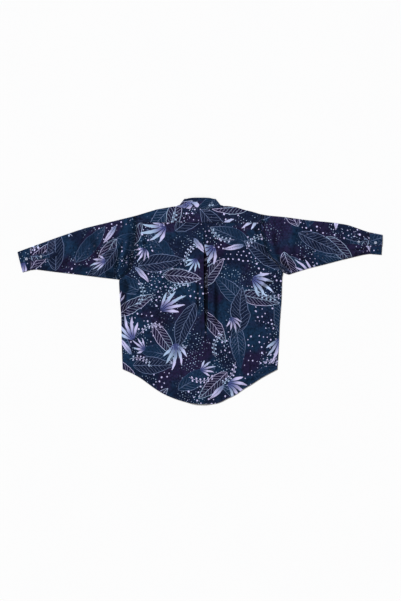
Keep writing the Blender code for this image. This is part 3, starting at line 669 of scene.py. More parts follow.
@dataclass
class BackPanel:
    """Back with its inverted box pleat, from the yoke's seam to the shirt tail.

    Here and in the other panels a margin lists how far from an edge the grid has its lines, and
    cut_corner is the panel's own corner of the cloth. arm_shade: half width and depth of the shade
    along the armholes, and the y where it starts. yoke_shade: half width and depth. open_drop: depths
    of the channel between which the shade in the folds comes in.
    """

    rows: int = 120
    side_columns: int = 56
    seam_margin: tuple = (0, 1.5, 3, 5, 8, 12)
    hem_margin: tuple = (12, 9, 7.5, 6, 4, 2, 0)
    pleat_margin: tuple = (0, 1.5, 3, 5, 7.5, 10, 13, 17, 21, 26, 32, 39, 47, 56)
    edge_margin: tuple = (22, 16, 12, 9.5, 8, 6, 4, 2, 0)
    level_fade: float = 90.0
    hem_rise: float = 0.35
    felled: float = 9.0
    felled_soft: float = 2.5
    felled_thick: float = 0.4
    seam_low_y: float = 70.0
    seam_fade: float = 30.0
    fold_deep: float = 1.3
    open_drop: tuple = (0.6, 2.2)
    arm_shade: tuple = (5.0, 0.85, 80.0)
    trough_shade: float = 0.78
    trough_fade: float = 0.35
    yoke_shade: tuple = (3.0, 0.6)

    def side_grid(self, side: Side, edge_y: np.ndarray, inner_x: np.ndarray, centre_y: np.ndarray) -> tuple:
        """Points of one side, from the pleat out to the edge.

        Args:
            side: which side of the pleat.
            edge_y: where each row meets the side's edge.
            inner_x: x of the pleat's lip at each row.
            centre_y: y of each row at the pleat.

        Returns:
            x and y, rows by columns.
        """
        way = side.value
        edge_x = EDGES[side].x_at(edge_y)
        distance = spaced(np.abs(edge_x - inner_x), self.pleat_margin, self.edge_margin, self.side_columns)
        x = inner_x[:, None] + way * distance
        top = YOKE_SEAM_Y - GAP
        hem = HEM_LINE.y_at(x[-1])
        y = top - spaced(top - hem, self.seam_margin, self.hem_margin, self.rows).T
        near = plateau(x - inner_x[:, None], 0, self.level_fade)
        return x, y * (1 - near) + centre_y[:, None] * near

    def sheet(self) -> Sheet:
        """The whole panel: left side, half pleat, channel, half pleat, right side."""
        top = YOKE_SEAM_Y - GAP
        edge_y = top - spaced(top - CORNER_Y, self.seam_margin, self.hem_margin, self.rows)
        middle_hem = HEM_LINE.y_at(PLEAT.centre(0.0))
        centre_y = top - spaced(top - middle_hem, self.seam_margin, self.hem_margin, self.rows)
        centre = PLEAT.centre(centre_y)
        half = PLEAT.half(centre_y, LAY.lips(centre_y))
        runs = []
        for side in Side:
            way = side.value
            lip = centre - way * half[:, 0, 0]
            x, y = self.side_grid(side, edge_y, lip, centre_y)
            hem, arm = self.edges(x, y)
            arm = arm * ease((y - self.seam_low_y) / self.seam_fade)
            panel = level(x, y, LAY.back(x, y) + self.hem_rise * np.maximum(hem, arm))
            folds = level(centre[:, None] - way * half[:, 1:, 0], centre_y[:, None],
                          panel[:, :1, 2] - half[:, 1:, 1])
            runs.append(np.concatenate([panel[:, ::-1], folds], 1))
        left, right = runs
        channel = (left[:, -1:] + right[:, -1:]) / 2
        points = np.concatenate([left, channel, right[:, ::-1]], 1)
        # Painted shade in the pleat's folds where it stands open: the deeper a point lies below the upper
        # layer, the darker the cloth's colour
        drop = PLEAT.drop(centre_y)
        sunk = half[..., 1] / (drop + LAY.lips(centre_y))[:, None]
        low, high = self.open_drop
        sunk = ease(sunk * self.fold_deep) * ease((drop - low) / (high - low))[:, None]
        flat = np.zeros_like(x)
        folds = np.concatenate([flat, sunk[:, 1:], sunk[:, -1:], sunk[:, :0:-1], flat], 1)
        thickness = CLOTH + self.felled_thick * np.maximum(*self.edges(points[..., 0], points[..., 1]))
        return Sheet("back_panel", points, cut_at(run_lengths(points, left.shape[1]), points[..., 1], (0, 0)),
                     thickness=thickness, painted_shade=np.maximum(folds, self.seam_shade(points)))

    def side_distance(self, x: np.ndarray, y: np.ndarray) -> np.ndarray:
        """Distance along X from the nearer of the body's two edges."""
        return np.minimum(*(np.abs(EDGES[side].x_at(y) - x) for side in Side))

    def edges(self, x: np.ndarray, y: np.ndarray) -> tuple:
        """1 in the turned hem, and 1 in the felled seams of the sides, each easing to 0 inside."""
        return tuple(ease((self.felled - away) / self.felled_soft)
                     for away in (y - HEM_LINE.y_at(x), self.side_distance(x, y)))

    def seam_shade(self, points: np.ndarray) -> np.ndarray:
        """Painted shade, 0 to 1: how much the cloth's colour is darkened in troughs and along the armholes
        and the yoke's seam.
        """
        x, y = points[..., 0], points[..., 1]
        half, deep, low_y = self.arm_shade
        arm = bell(self.side_distance(x, y), half) * ease((y - low_y) / self.seam_fade) * deep
        troughs = hollow(LAY.crease_gain * relief(BODY_CREASES, x, y)) * LAY.inside(x, y) ** self.trough_fade
        half, deep = self.yoke_shade
        return np.maximum.reduce([arm, self.trough_shade * troughs, bell(YOKE_SEAM_Y - y, half) * deep])


@dataclass
class Yoke:
    """Yoke: up the back, round the shoulder folds beside the neck and a little down the front."""

    rows: int = 12
    columns: int = 34
    seam_margin: tuple = (0, 1.5, 3, 5, 7)
    fold_margin: tuple = (9, 6, 3.5, 1.5, 0)
    edge_margin: tuple = (0, 2, 4, 6, 8, 9.5, 12, 16)
    neck_margin: tuple = (8, 4, 0)
    seam_rise: float = 0.55
    seam_wide: float = 9.0
    seam_soft: float = 2.5
    inner_columns: int = 57
    front_rows: int = 8
    stitched_rows: int = 20
    cut_corner: tuple = (1210.0, 37.0)

    def columns_at(self, share: np.ndarray) -> np.ndarray:
        """x of the columns at shares of the way from the seam to the fold, rows by columns."""
        ends = []
        for side, top in ((Side.LEFT, SHOULDER[0][1]), (Side.RIGHT, SHOULDER[-1][1])):
            edge = EDGES[side].x_at(YOKE_SEAM_Y + share * (top - YOKE_SEAM_Y))
            run = spaced(np.abs(edge) - NECK_HALF, self.edge_margin, self.neck_margin, self.columns)
            ends.append(edge[:, None] - side.value * run)
        inner = np.linspace(-NECK_REACH, NECK_REACH, self.inner_columns)
        return np.concatenate([ends[0], np.tile(inner, (len(share), 1)), ends[1][:, ::-1]], 1)

    def sheet(self) -> Sheet:
        """Rows from the seam to the fold, round it, and down to the fronts' seam."""
        x_top = self.columns_at(np.array([1.0]))[0]
        apex = SHOULDER_LINE.y_at(x_top)
        low = LAY.front(x_top, apex)
        over_neck = np.abs(x_top) < NECK_REACH - TINY
        fold_y = np.where(over_neck, neck_back(x_top), apex - FOLD_INSET)
        distance = spaced(fold_y - YOKE_SEAM_Y, self.seam_margin, self.fold_margin, self.rows).T
        share = distance / (fold_y - YOKE_SEAM_Y)
        x = self.columns_at(share[:, 0])
        y = YOKE_SEAM_Y + distance
        seam = ease((self.seam_wide - distance) / self.seam_soft)
        back = level(x, y, LAY.back(x, y) + self.seam_rise * seam)
        high = back[-1, :, 2]
        angle = np.linspace(0, math.pi, FOLD_STEPS + 1)[1:-1, None]
        fold = level(x_top, fold_y + LAYER / 2 * np.sin(angle),
                     (high + low) / 2 + (high - low) / 2 * np.cos(angle))
        down = np.linspace(0, 1, self.front_rows)[:, None]
        front_y = fold_y + down * (front_seam(x_top) + GAP - fold_y)
        front = level(x_top, front_y, LAY.front(x_top, front_y))
        points = np.concatenate([back, fold, front])[::-1]
        cells = np.ones((points.shape[0] - 1, points.shape[1] - 1), bool)
        middle = np.abs((x_top[1:] + x_top[:-1]) / 2) < NECK_HALF - TINY
        cells[:len(points) - len(back), middle] = False
        cut = cut_at(points[..., 0], lengths_along(points[::-1])[::-1], self.cut_corner)
        return Sheet("yoke_panel", points, cut, cells=cells)


def neck_back(x: np.ndarray) -> np.ndarray:
    """Lower edge of the neck opening in the yoke: a shallow curve below the shoulder line."""
    return SHOULDER_LINE.y_at(x) - NECK_BACK_DROP * np.clip(1 - (x / NECK_HALF) ** 2, 0, 1)


def front_seam(x: np.ndarray) -> np.ndarray:
    """Seam between the yoke and the fronts: straight from each armhole to the neck."""
    slope = np.where(x < 0, *SHOULDER_SLOPES)
    return NECK_POINT_Y - YOKE_FRONT_DROP - slope * np.maximum(np.abs(x) - NECK_HALF, 0)


def neck_curve(x: np.ndarray, half: float | np.ndarray) -> np.ndarray:
    """Depth of the front neck below its side points: a squarish half ellipse."""
    share = np.clip(np.abs(x) / half, 0, 1)
    return NECK_FRONT_DROP * (1 - share**NECK_CURVE_POWER) ** (1 / NECK_CURVE_POWER)


def front_top(x: np.ndarray) -> np.ndarray:
    """Top edge of the fronts: the yoke's front seam, then the scoop of the neck."""
    scoop = STAND_SIDE_Y[0] - 2 * GAP - neck_curve(x, NECK_REACH)
    return np.where(np.abs(x) < NECK_REACH, np.minimum(front_seam(x), scoop), front_seam(x))


@dataclass
class Front:
    """One front with its grown-on button band, the lowest layer of the body."""

    side: Side
    rows: int = 90
    columns: int = 44
    band_margin: tuple = (0, 1.5, 4, 10, 17, 24, 31, 34, 40, 47, 57, 67, 77, 83, 88, 92, 95, 97, 99, 104,
                          112)
    edge_margin: tuple = (14, 9, 5, 2, 0)
    seam_margin: tuple = (0, 2, 5, 9)
    hem_margin: tuple = (12, 8, 6, 3, 0)
    cut_corner: tuple = (860.0, -83.0)

    def sheet(self) -> Sheet:
        """Rows from the yoke's front seam and the neck down to the hem."""
        way = self.side.value
        edge = EDGES[self.side]
        centre_x = -way * FRONT_EDGE_X
        top_y = (SHOULDER[0] if way < 0 else SHOULDER[-1])[1] - YOKE_FRONT_DROP
        edge_y = top_y - spaced(top_y - CORNER_Y, self.seam_margin, self.hem_margin, self.rows)
        edge_x = edge.x_at(edge_y)
        run = spaced(np.abs(edge_x - centre_x), self.band_margin, self.edge_margin, self.columns)
        x = centre_x + way * run
        side_share = ((top_y - edge_y) / (top_y - CORNER_Y))[:, None]
        band_share = np.clip((YOKE_SEAM_Y - edge_y) / (YOKE_SEAM_Y - CORNER_Y), 0, 1)[:, None]
        share = band_share + (side_share - band_share) * (x - centre_x) / (edge_x[:, None] - centre_x)
        top = front_top(x[0])
        hem = CORNER_Y + FRONT_HEM_SHARE * (HEM_LINE.y_at(x[-1]) - CORNER_Y)
        y = top + share * (hem - top)
        z = LAY.front(x, y) + (LAYER * LAY.band(x) if way > 0 else 0)
        points = level(x, y, z)
        across_cut, down_cut = self.cut_corner
        cut = cut_at(run_lengths(points, 0) * -way, points[..., 1], (way * across_cut, down_cut))
        return Sheet(f"front_{self.side.word}_panel", points, cut).facing(self.side)


@dataclass(frozen=True)
class SleeveShape:
    """Outline of one sleeve and its cuff: points along the top and bottom edges, x and y."""

    top: tuple
    bottom: tuple
    underarm_y: float
    cuff_end: tuple
    cuff_button: tuple
    creases: tuple


SLEEVE_SHAPES = {
    Side.LEFT: SleeveShape(
        top=((-396, 337), (-499, 312), (-602, 277), (-671, 252), (-731, 230)),
        bottom=((-430, 101), (-533, 114), (-636, 126), (-705, 135), (-731, 132)),
        underarm_y=91,
        cuff_end=((-785, 210), (-763, 123)),
        cuff_button=(-746.0, 180.0),
        creases=(
            Crease(-300, 330, -345, 150, 15, 2.2, -8, 0.3),
            Crease(-318, 270, -368, 110, 10, -2.4, 6),
            Crease(-420, 300, -372, 120, 20, 2.0, 8),
            Crease(-470, 290, -420, 140, 16, -1.4, -5),
            Crease(-560, 262, -505, 140, 20, 1.9, 6, 0.3),
            Crease(-600, 250, -660, 170, 18, 1.4, -5),
            Crease(-520, 210, -600, 130, 16, -1.2, 4),
            Crease(-352, 104, -410, 122, 13, -3.0, -2),
            Crease(-655, 192, -728, 190, 7, 0.8),
            Crease(-668, 214, -728, 207, 6, 0.9),
            Crease(-672, 156, -728, 153, 6, 0.9),
            Crease(-640, 234, -700, 216, 8, 0.8),
        ),
    ),
    Side.RIGHT: SleeveShape(
        top=((292, 367), (361, 361), (464, 347), (568, 337), (636, 327), (705, 302), (728, 295)),
        bottom=((381, 112), (396, 118), (464, 139), (533, 156), (602, 174), (671, 191), (705, 199),
                (731, 202)),
        underarm_y=122,
        cuff_end=((785, 284), (780, 198)),
        cuff_button=(754.0, 250.0),
        creases=(
            Crease(300, 330, 330, 180, 15, 2.4, 8, -0.3),
            Crease(322, 300, 352, 150, 11, -1.8, 5),
            Crease(345, 200, 404, 146, 8, 2.2),
            Crease(334, 184, 398, 132, 9, -3.6, 3),
            Crease(338, 160, 392, 118, 8, 2.6, 3),
            Crease(348, 146, 390, 108, 10, -4.4, 2),
            Crease(398, 330, 372, 170, 18, 2.2, -8),
            Crease(520, 300, 440, 180, 20, 1.8, 6),
            Crease(470, 250, 440, 150, 12, -1.4, 4),
            Crease(600, 300, 560, 190, 20, 1.5, -6),
            Crease(640, 270, 724, 262, 7, 1.2, 1),
            Crease(648, 226, 726, 230, 7, 1.1),
            Crease(656, 216, 722, 221, 5, -0.9),
            Crease(650, 290, 720, 276, 8, 1.0),
            Crease(655, 208, 722, 211, 5, 0.9),
        ),
    ),
}


@dataclass
class Sleeve:
    """Flattened tube from the armhole to the cuff's seam.

    Margins and fades are shares of the length. reaches: how far the armhole, the top and the bottom
    are rounded. crown: the two powers of the tube's section. seam_end: where the seam's rise ends,
    and its fade. arm_shade: the same of the shade, and its depth. cuff_shade: half width and depth.
    """

    side: Side
    rings: int = 96
    swell: float = 4.8
    crease_gain: float = 3.3
    across: int = 44
    lower: int = 20
    arm_fade: float = 0.09
    cuff_fade: float = 0.10
    seam_offset: float = 1.15 * GAP
    arm_samples: int = 60
    reaches: tuple = (4.0, 34.0, 12.0)
    crown: tuple = (6, 0.6)
    seam_rise: float = 0.3
    seam_end: tuple = (0.02, 0.004)
    trough_shade: float = 0.75
    arm_shade: tuple = (0.04, 0.022, 0.66)
    cuff_shade: tuple = (0.012, 0.6)
    cut_corner: tuple = (2300.0, 613.0)
    arm_margin: tuple = (0, 0.003, 0.007, 0.012, 0.018, 0.026)
    cuff_margin: tuple = (0.024, 0.016, 0.010, 0.006, 0.003, 0)

    def __post_init__(self) -> None:
        """Works out the armhole and both edges from the sleeve's outline."""
        self.shape = SLEEVE_SHAPES[self.side]
        top_y = (SHOULDER[0] if self.side is Side.LEFT else SHOULDER[-1])[1]
        y = np.linspace(top_y, self.shape.underarm_y, self.arm_samples)
        arm = np.column_stack([EDGES[self.side].x_at(y), y])
        run = np.gradient(arm, axis=0)
        outward = np.column_stack([-run[:, 1], run[:, 0]]) * self.side.value
        outward = outward / np.linalg.norm(outward, axis=1)[:, None]
        self.arm = Line(tuple(arm + outward * self.seam_offset), self.reaches[0])
        ends = self.arm.points[[0, -1]]
        self.top = Line((tuple(ends[0]),) + self.shape.top, self.reaches[1])
        self.bottom = Line((tuple(ends[1]),) + self.shape.bottom, self.reaches[2])

    def flat(self, share: np.ndarray, a: np.ndarray) -> np.ndarray:
        """Places on the sleeve seen from above.

        Straight across from the top edge to the bottom edge, bent like the armhole near it.

        Args:
            share: shares of the length, from the armhole to the cuff.
            a: shares of the way across.

        Returns:
            x and y on a new last axis.
        """
        share, a = np.broadcast_arrays(np.asarray(share, float), np.asarray(a, float))
        top, bottom = self.top.at(share), self.bottom.at(share)
        wide = np.linalg.norm(bottom - top, axis=-1)
        inset = FOLD_INSET / wide
        b = (inset + a * (1 - 2 * inset))[..., None]
        ends = self.arm.points[[0, -1]]
        bend = self.arm.at(b[..., 0]) - (ends[0] + (ends[1] - ends[0]) * b)
        return top + (bottom - top) * b + bend * ((1 - share) ** BEND_POWER)[..., None]

    def upper(self, share: np.ndarray, a: np.ndarray) -> np.ndarray:
        """Middle points of the upper wall: a crowned tube with its creases."""
        place_xy = self.flat(share, a)
        x, y = place_xy[..., 0], place_xy[..., 1]
        square, round_off = self.crown
        crown = (1 - np.abs(2 * a - 1) ** square) ** round_off
        ends = ease(share / self.arm_fade) * ease((1 - share) / self.cuff_fade)
        loose = settled(self.swell + self.crease_gain * relief(self.shape.creases, x, y))
        wide, soft = self.seam_end
        seam = self.seam_rise * ease((wide - share) / soft)
        return level(x, y, REST + LAYER + loose * crown * ends + seam)

    def sheet(self) -> Sheet:
        """Rings of upper wall, fold, lower wall and fold."""
        between = np.linspace(self.arm_margin[-1], 1 - self.cuff_margin[0], self.rings + 2)[1:-1]
        share = np.concatenate([self.arm_margin, between, 1 - np.array(self.cuff_margin)])[:, None]
        a = (1 - np.cos(np.linspace(0, math.pi, self.across))) / 2
        a = (a + 2 * np.linspace(0, 1, self.across)) / 3
        upper = self.upper(share, a[None])
        under_xy = self.flat(share, np.linspace(1, 0, self.lower)[None])
        lower = level(under_xy[..., 0], under_xy[..., 1], REST)
        last = unit_rows(upper[:, -1] - upper[:, -2])
        first = unit_rows(upper[:, 1] - upper[:, 0])
        far = half_turn(upper[:, -1], lower[:, 0], last)
        near = half_turn(lower[:, -1], upper[:, 0], -first)
        points = np.concatenate([upper, far, lower, near], 1)
        closing = np.concatenate([points, points[:, :1]], 1)
        around = run_lengths(closing, self.across // 2)
        down = lengths_along(points[:, self.across // 2])[:, None]
        way = self.side.value
        cut = cut_at(around * way, -down, (way * self.cut_corner[0], way * self.cut_corner[1]))
        # Painted shade: the cloth's colour is darkened in the creases' troughs, at the armhole end and beside
        # the cuff
        creases = relief(self.shape.creases, points[..., 0], points[..., 1])
        wide, soft, deep = self.arm_shade
        rim = ease((wide - share) / soft) * deep
        wide, deep = self.cuff_shade
        rim = rim + bell(1 - share, wide) * deep
        painted_shade = np.maximum(self.trough_shade * hollow(self.crease_gain * creases), rim)
        name = f"sleeve_{self.side.word}_tube"
        return Sheet(name, points, cut, closed=True, painted_shade=painted_shade).facing(self.side)


def unit_rows(vectors: np.ndarray) -> np.ndarray:
    """Unit vectors in the plane of the table, one a row."""
    flat = vectors * np.array([1.0, 1.0, 0.0])
    return flat / np.linalg.norm(flat, axis=-1, keepdims=True)


@dataclass
class Cuff:
    """Flattened cuff band, its ends lapped under the button.

    lap_rise: how far before the lap the over end starts to rise, and over what share it does. The
    third number of cut_corner moves the two cuffs apart on the cloth.
    """

    side: Side
    rows: int = 10
    columns: int = 26
    lap_half: float = 12.0
    lap_rise: tuple = (0.26, 0.2)
    margin: tuple = (0, 1, 2.5, 5, 6.5)
    thickness: float = 1.0
    clear: float = 0.15
    puff: float = 0.2
    cut_corner: tuple = (3300.0, 605.0, 185.0)

    def sheet(self) -> Sheet:
        """From the under end round the far fold, below, round the near fold to the over end."""
        shape = SLEEVE_SHAPES[self.side]
        start = np.array((shape.top[-1], shape.bottom[-1]), float)
        start[:, 0] += self.side.value * GAP
        end = np.array(shape.cuff_end, float)
        length = float(np.linalg.norm((start - end).mean(0)))
        share = spaced(length, self.margin, self.margin[::-1], self.rows)[:, None] / length
        top = start[0] + (end[0] - start[0]) * share
        bottom = start[1] + (end[1] - start[1]) * share
        across = bottom - top
        wide = np.linalg.norm(across, axis=1)[:, None]
        unit = across / wide
        top, bottom = top + FOLD_INSET * unit, bottom - FOLD_INSET * unit
        across = bottom - top
        middle_xy = np.array(shape.cuff_button) - (top + bottom) / 2
        middle = (middle_xy * unit).sum(1)[:, None] / wide + 0.5
        lap = self.lap_half / wide
        steps = np.linspace(0, 1, self.columns)[None]
        under_a = middle - lap + (1 - middle + lap) * steps
        over_a = (middle + lap) * steps
        rise = ease((over_a - (middle - lap) + self.lap_rise[0]) / self.lap_rise[1])

        def run(a: np.ndarray, z: np.ndarray) -> np.ndarray:
            """Points at shares of the way across, at height z."""
            xy = top[:, None] + across[:, None] * a[..., None]
            return level(xy[..., 0], xy[..., 1], z)

        puff = self.puff * np.sin(np.pi * share)
        first = run(under_a, REST + LAYER + puff)
        lower = run(1 - steps * np.ones_like(share), REST + self.clear)
        last = run(over_a, REST + LAYER + LAYER * rise + puff)
        bulge = np.column_stack([unit, np.zeros(len(unit))])
        far = half_turn(first[:, -1], lower[:, 0], bulge)
        near = half_turn(lower[:, -1], last[:, 0], -bulge)
        points = np.concatenate([first, far, lower, near, last], 1)
        way = self.side.value
        down_cut, around_cut, apart = self.cut_corner
        cut = cut_at(share * length, run_lengths(points, 0), (way * down_cut, around_cut + way * apart))
        name = f"cuff_{self.side.word}_band"
        return Sheet(name, points, cut, thickness=self.thickness).facing(self.side)


@dataclass
class Placket:
    """Strip sewn over the sleeve's slit, from the cuff's seam to its pointed end.

    start: share of the sleeve's length. blunt: share of the half width at the very point. across:
    the grid's lines in shares of the half width.
    """

    side: Side
    sleeve: Sleeve
    start: float = 10 / 14
    rows: int = 36
    half: float = 12.0
    point: float = 14.0
    rise: float = 0.95
    blunt: float = 0.12
    end_margin: tuple = (6, 3, 1.2, 0)
    across: tuple = (-1, -0.9, -0.78, -0.66, -0.4, 0, 0.4, 0.66, 0.78, 0.9, 1)
    thickness: float = 0.9
    cut_corner: tuple = (4000.0, 77.0)

    def sheet(self) -> Sheet:
        """Rows along the strip: half width grows over the point, then stays."""
        length = float(np.linalg.norm(self.sleeve.flat(1.0, 0.5) - self.sleeve.flat(self.start, 0.5)))
        distance = spaced(length, (0, 2, 4, 7, 10.5, self.point), self.end_margin, self.rows)
        share = (self.start + (1 - self.start) * distance / length)[:, None]
        wide = np.linalg.norm(self.sleeve.flat(share, 1.0) - self.sleeve.flat(share, 0.0), axis=-1)
        grown = np.minimum(self.blunt + (1 - self.blunt) * distance / self.point, 1)[:, None]
        across = self.half * grown * np.array(self.across)
        a = 0.5 + across / wide
        points = self.sleeve.upper(share, a)
        points[..., 2] += self.rise
        cut = cut_at(across, distance[:, None], self.cut_corner)
        name = f"placket_{self.side.word}_strip"
        return Sheet(name, points, cut, thickness=self.thickness).facing(self.side)


@dataclass
class CollarStand:
    """Stand round the neck, its ends lapped at the centre front."""

    rows: int = 14
    lap_xs: tuple = (17.0, 8.5)
    leaf_end: float = 20.0
    even_end: float = 70.0
    thickness: float = 0.9
    crown_power: int = 4
    height: float = 34.0
    cut_corner: tuple = (5000.0, 150.0)

    def neck_xs(self) -> np.ndarray:
        """Places across the neck from the centre to the side, the third one at the leaf's end."""
        even = np.linspace(self.leaf_end, self.even_end, 21)
        close = np.linspace(self.even_end + 2, NECK_REACH, 9)
        return np.concatenate([[0.0, self.leaf_end / 2], even, close])

    def row(self, share: np.ndarray) -> np.ndarray:
        """Front left, side fold, back above, side fold, front right, for each share of the height."""
        share = np.asarray(share, float)[:, None]
        xs = self.neck_xs()[None]
        half = NECK_REACH + (STAND_TOP_HALF - NECK_REACH) * share
        reach = half - FOLD_INSET
        xs = xs * reach / NECK_REACH
        side_y = STAND_SIDE_Y[0] + (STAND_SIDE_Y[1] - STAND_SIDE_Y[0]) * share
        lapped = np.hstack([np.array(self.lap_xs)[None] * half / NECK_REACH, -xs])
        low_y = side_y - neck_curve(lapped, reach)
        above = np.hstack([-xs[:, ::-1], xs[:, 1:]])
        crown = 1 - (above / reach) ** self.crown_power
        back_low = neck_back(above) + GAP * 2
        back_high = side_y + (STAND_TOP_Y - STAND_SIDE_Y[1]) * crown
        high_y = back_low + (back_high - back_low) * share
        levels = LAY.front(lapped, LEAF_POINT[1])
        left = level(lapped, low_y, levels)
        over = levels + LAYER * LAY.band(lapped)
        right = level(-lapped, low_y, over)[:, ::-1]
        top = level(above, high_y, LAY.back(above, np.full_like(above, NECK_POINT_Y)))
        side = np.broadcast_to(np.array([1.0, 0.0, 0.0]), (len(share), 3))
        near = half_turn(left[:, -1], top[:, 0], -side)
        far = half_turn(top[:, -1], right[:, 0], side)
        return np.concatenate([left, near, top, far, right], 1)

    def sheet(self) -> Sheet:
        """The stand as a band from its neck seam to its top edge."""
        share = np.linspace(0, 1, self.rows)[::-1]
        points = self.row(share)
        cut = cut_at(run_lengths(points, 0), self.height * share[:, None], self.cut_corner)
        return Sheet("collar_stand_band", points, cut, thickness=self.thickness)


@dataclass
class CollarLeaf:
    """Leaf: rises from the stand's top edge, folds over it and falls outside the neck."""

    stand: CollarStand
    sides: tuple = ((0.0, 66.0, 440.0, 0), (0.7, 88.5, 411.5, 20), (1.0, 100.0, 409.2, 80))
    edge_y: float = 396.0
    edge_power: float = 1.3
    ease_up: float = 0.25
    settle: float = 0.75
    puff: float = 0.8
    thickness: float = 0.9
    shares: tuple = (0.05, 0.1, 0.16, 0.23, 0.3, 0.38, 0.46, 0.54, 0.62, 0.7, 0.77, 0.84, 0.9, 0.94, 0.97,
                     1.0)
    below_top: float = 0.98
    cut_corner: tuple = (5600.0, 640.0)

    def row(self, share: np.ndarray) -> np.ndarray:
        """Rows of the leaf at shares of the way from its fold to its edge."""
        share = np.asarray(share, float)[:, None]
        table = np.array(self.sides)
        side_x, side_y, lean = (np.interp(share, table[:, 0], table[:, i]) for i in (1, 2, 3))
        lean = np.radians(lean)
        inset = LAYER + FOLD_INSET
        side_x = side_x - inset * np.cos(lean)
        side_y = side_y - inset * np.sin(lean)
        spans = self.stand.neck_xs()[2:][None]
        r = (spans - spans[0, 0]) / (spans[0, -1] - spans[0, 0])
        inner = spans[0, 0] * STAND_TOP_HALF / NECK_REACH
        end_x = inner + (LEAF_POINT[0] - inner) * share
        x = end_x + r * (side_x - end_x)
        top_x = inner + r * (STAND_TOP_HALF - inner)
        top_y = STAND_SIDE_Y[1] - neck_curve(top_x, STAND_TOP_HALF)
        low_edge = LEAF_POINT[1] + (table[-1, 2] - inset - LEAF_POINT[1]) * r**self.edge_power
        straight = STAND_SIDE_Y[1] + (low_edge[:, -1:] - STAND_SIDE_Y[1]) * share
        y = top_y + (low_edge - top_y) * share + (side_y - straight) * r**BEND_POWER
        xs = self.stand.neck_xs()
        above = np.concatenate([-xs[::-1], xs[1:]])[None] / NECK_REACH
        centre_y = STAND_TOP_Y + (self.edge_y - STAND_TOP_Y) * share
        crown = 1 - above**self.stand.crown_power
        high_y = side_y + (centre_y - side_y) * crown
        high_x = above * side_x
        lifted = LAY.front(x, np.maximum(y, LEAF_POINT[1])) - LAYER
        low_z = REST + (lifted - REST) * self.settle
        left = level(-x, y, low_z)
        right = level(x, y, low_z)[:, ::-1]
        neck = LAY.back(high_x, np.full_like(high_x, NECK_POINT_Y))
        height = np.maximum(LAY.back(high_x, high_y), neck) + LAYER + self.ease_up
        height = height + self.puff * np.sin(math.pi * share) * crown
        top = level(high_x, high_y, height)
        bulge = np.concatenate([np.cos(lean), np.sin(lean), 0 * lean], 1)
        near = half_turn(left[:, -1], top[:, 0], bulge * np.array([-1.0, 1.0, 1.0]))
        far = half_turn(top[:, -1], right[:, 0], bulge)
        return np.concatenate([left, near, top, far, right], 1)

    def sheet(self) -> Sheet:
        """Half circle over the stand's top edge, then the rows down to the leaf's edge."""
        stand = self.stand.row(np.array([self.below_top, 1.0]))
        across = np.gradient(stand[1], axis=0)
        up = stand[1] - stand[0]
        outward = np.cross(across, up)
        outward = outward * np.array([1.0, 0.0, 1.0])
        outward = outward / np.linalg.norm(outward, axis=1)[:, None]
        drop = len(self.stand.lap_xs) + 2
        base, outward = stand[1][drop:-drop], outward[drop:-drop]
        upward = np.array([0.0, 1.0, 0.0])
        angle = np.linspace(0, math.pi, FOLD_STEPS + 1)[:, None, None]
        radial = upward * np.sin(angle) - outward * np.cos(angle)
        fold = base + upward * GAP + outward * LAYER / 2 + radial * LAYER / 2
        points = np.concatenate([fold, self.row(np.array(self.shares))])
        cut = cut_at(run_lengths(points, 0), -lengths_along(points), self.cut_corner)
        return Sheet("collar_leaf_fold", points, cut, thickness=self.thickness)


# Rods of thread: their sides, and a share of the length, a share of the radius and a share of the
# arch for each ring of points; the faces of the two ends, by the numbers of their points
ROD_SIDES = 6
ROD_RINGS = ((0.0, 0.35, 0.0), (0.28, 1.0, 1.0), (0.72, 1.0, 1.0), (1.0, 0.35, 0.0))
ROD_ENDS = ((3, 2, 1, 0), (5, 4, 3, 0), (18, 19, 20, 21), (18, 21, 22, 23))


def ring_faces(rows: int, around: int) -> np.ndarray:
    """Faces between neighbouring rings of points, each four numbers: this ring, then the next."""
    r, s = (grid.ravel() for grid in np.meshgrid(np.arange(rows - 1), np.arange(around), indexing="ij"))
    after = (s + 1) % around
    return np.stack([r * around + s, r * around + after, (r + 1) * around + after, (r + 1) * around + s], 1)


def capsules(starts: np.ndarray, ends: np.ndarray, ups: np.ndarray, radius: float, arch: float) -> tuple:
    """Short lengths of thread, each a six-sided rod thinned at its ends and arched over the cloth.

    Every rod is four rings of six points about its line; its middle is raised by arch along up.

    Args:
        starts: where each begins, rows by 3.
        ends: where each ends.
        ups: unit vectors away from the cloth.
        radius: half the thread's thickness.
        arch: how far the middle stands above the ends.

    Returns:
        Points and four-cornered faces.
    """
    run = ends - starts
    length = np.linalg.norm(run, axis=1, keepdims=True)
    way = run / length
    side = np.cross(ups, way)
    side = side / np.linalg.norm(side, axis=1, keepdims=True)
    share, wide, rise = np.array(ROD_RINGS).T
    wide, rise = wide * radius, rise * arch
    angle = np.arange(ROD_SIDES) * 2 * math.pi / ROD_SIDES
    line = starts[:, None] + run[:, None] * share[:, None] + ups[:, None] * rise[:, None]
    ring = side[:, None] * np.cos(angle)[:, None] + ups[:, None] * np.sin(angle)[:, None]
    points = line[:, :, None] + ring[:, None] * wide[:, None, None]
    one = np.vstack([ring_faces(len(ROD_RINGS), ROD_SIDES), ROD_ENDS])
    faces = one[None] + (np.arange(len(starts)) * len(ROD_RINGS) * ROD_SIDES)[:, None, None]
    return points.reshape(-1, 3), faces.reshape(-1, 4)


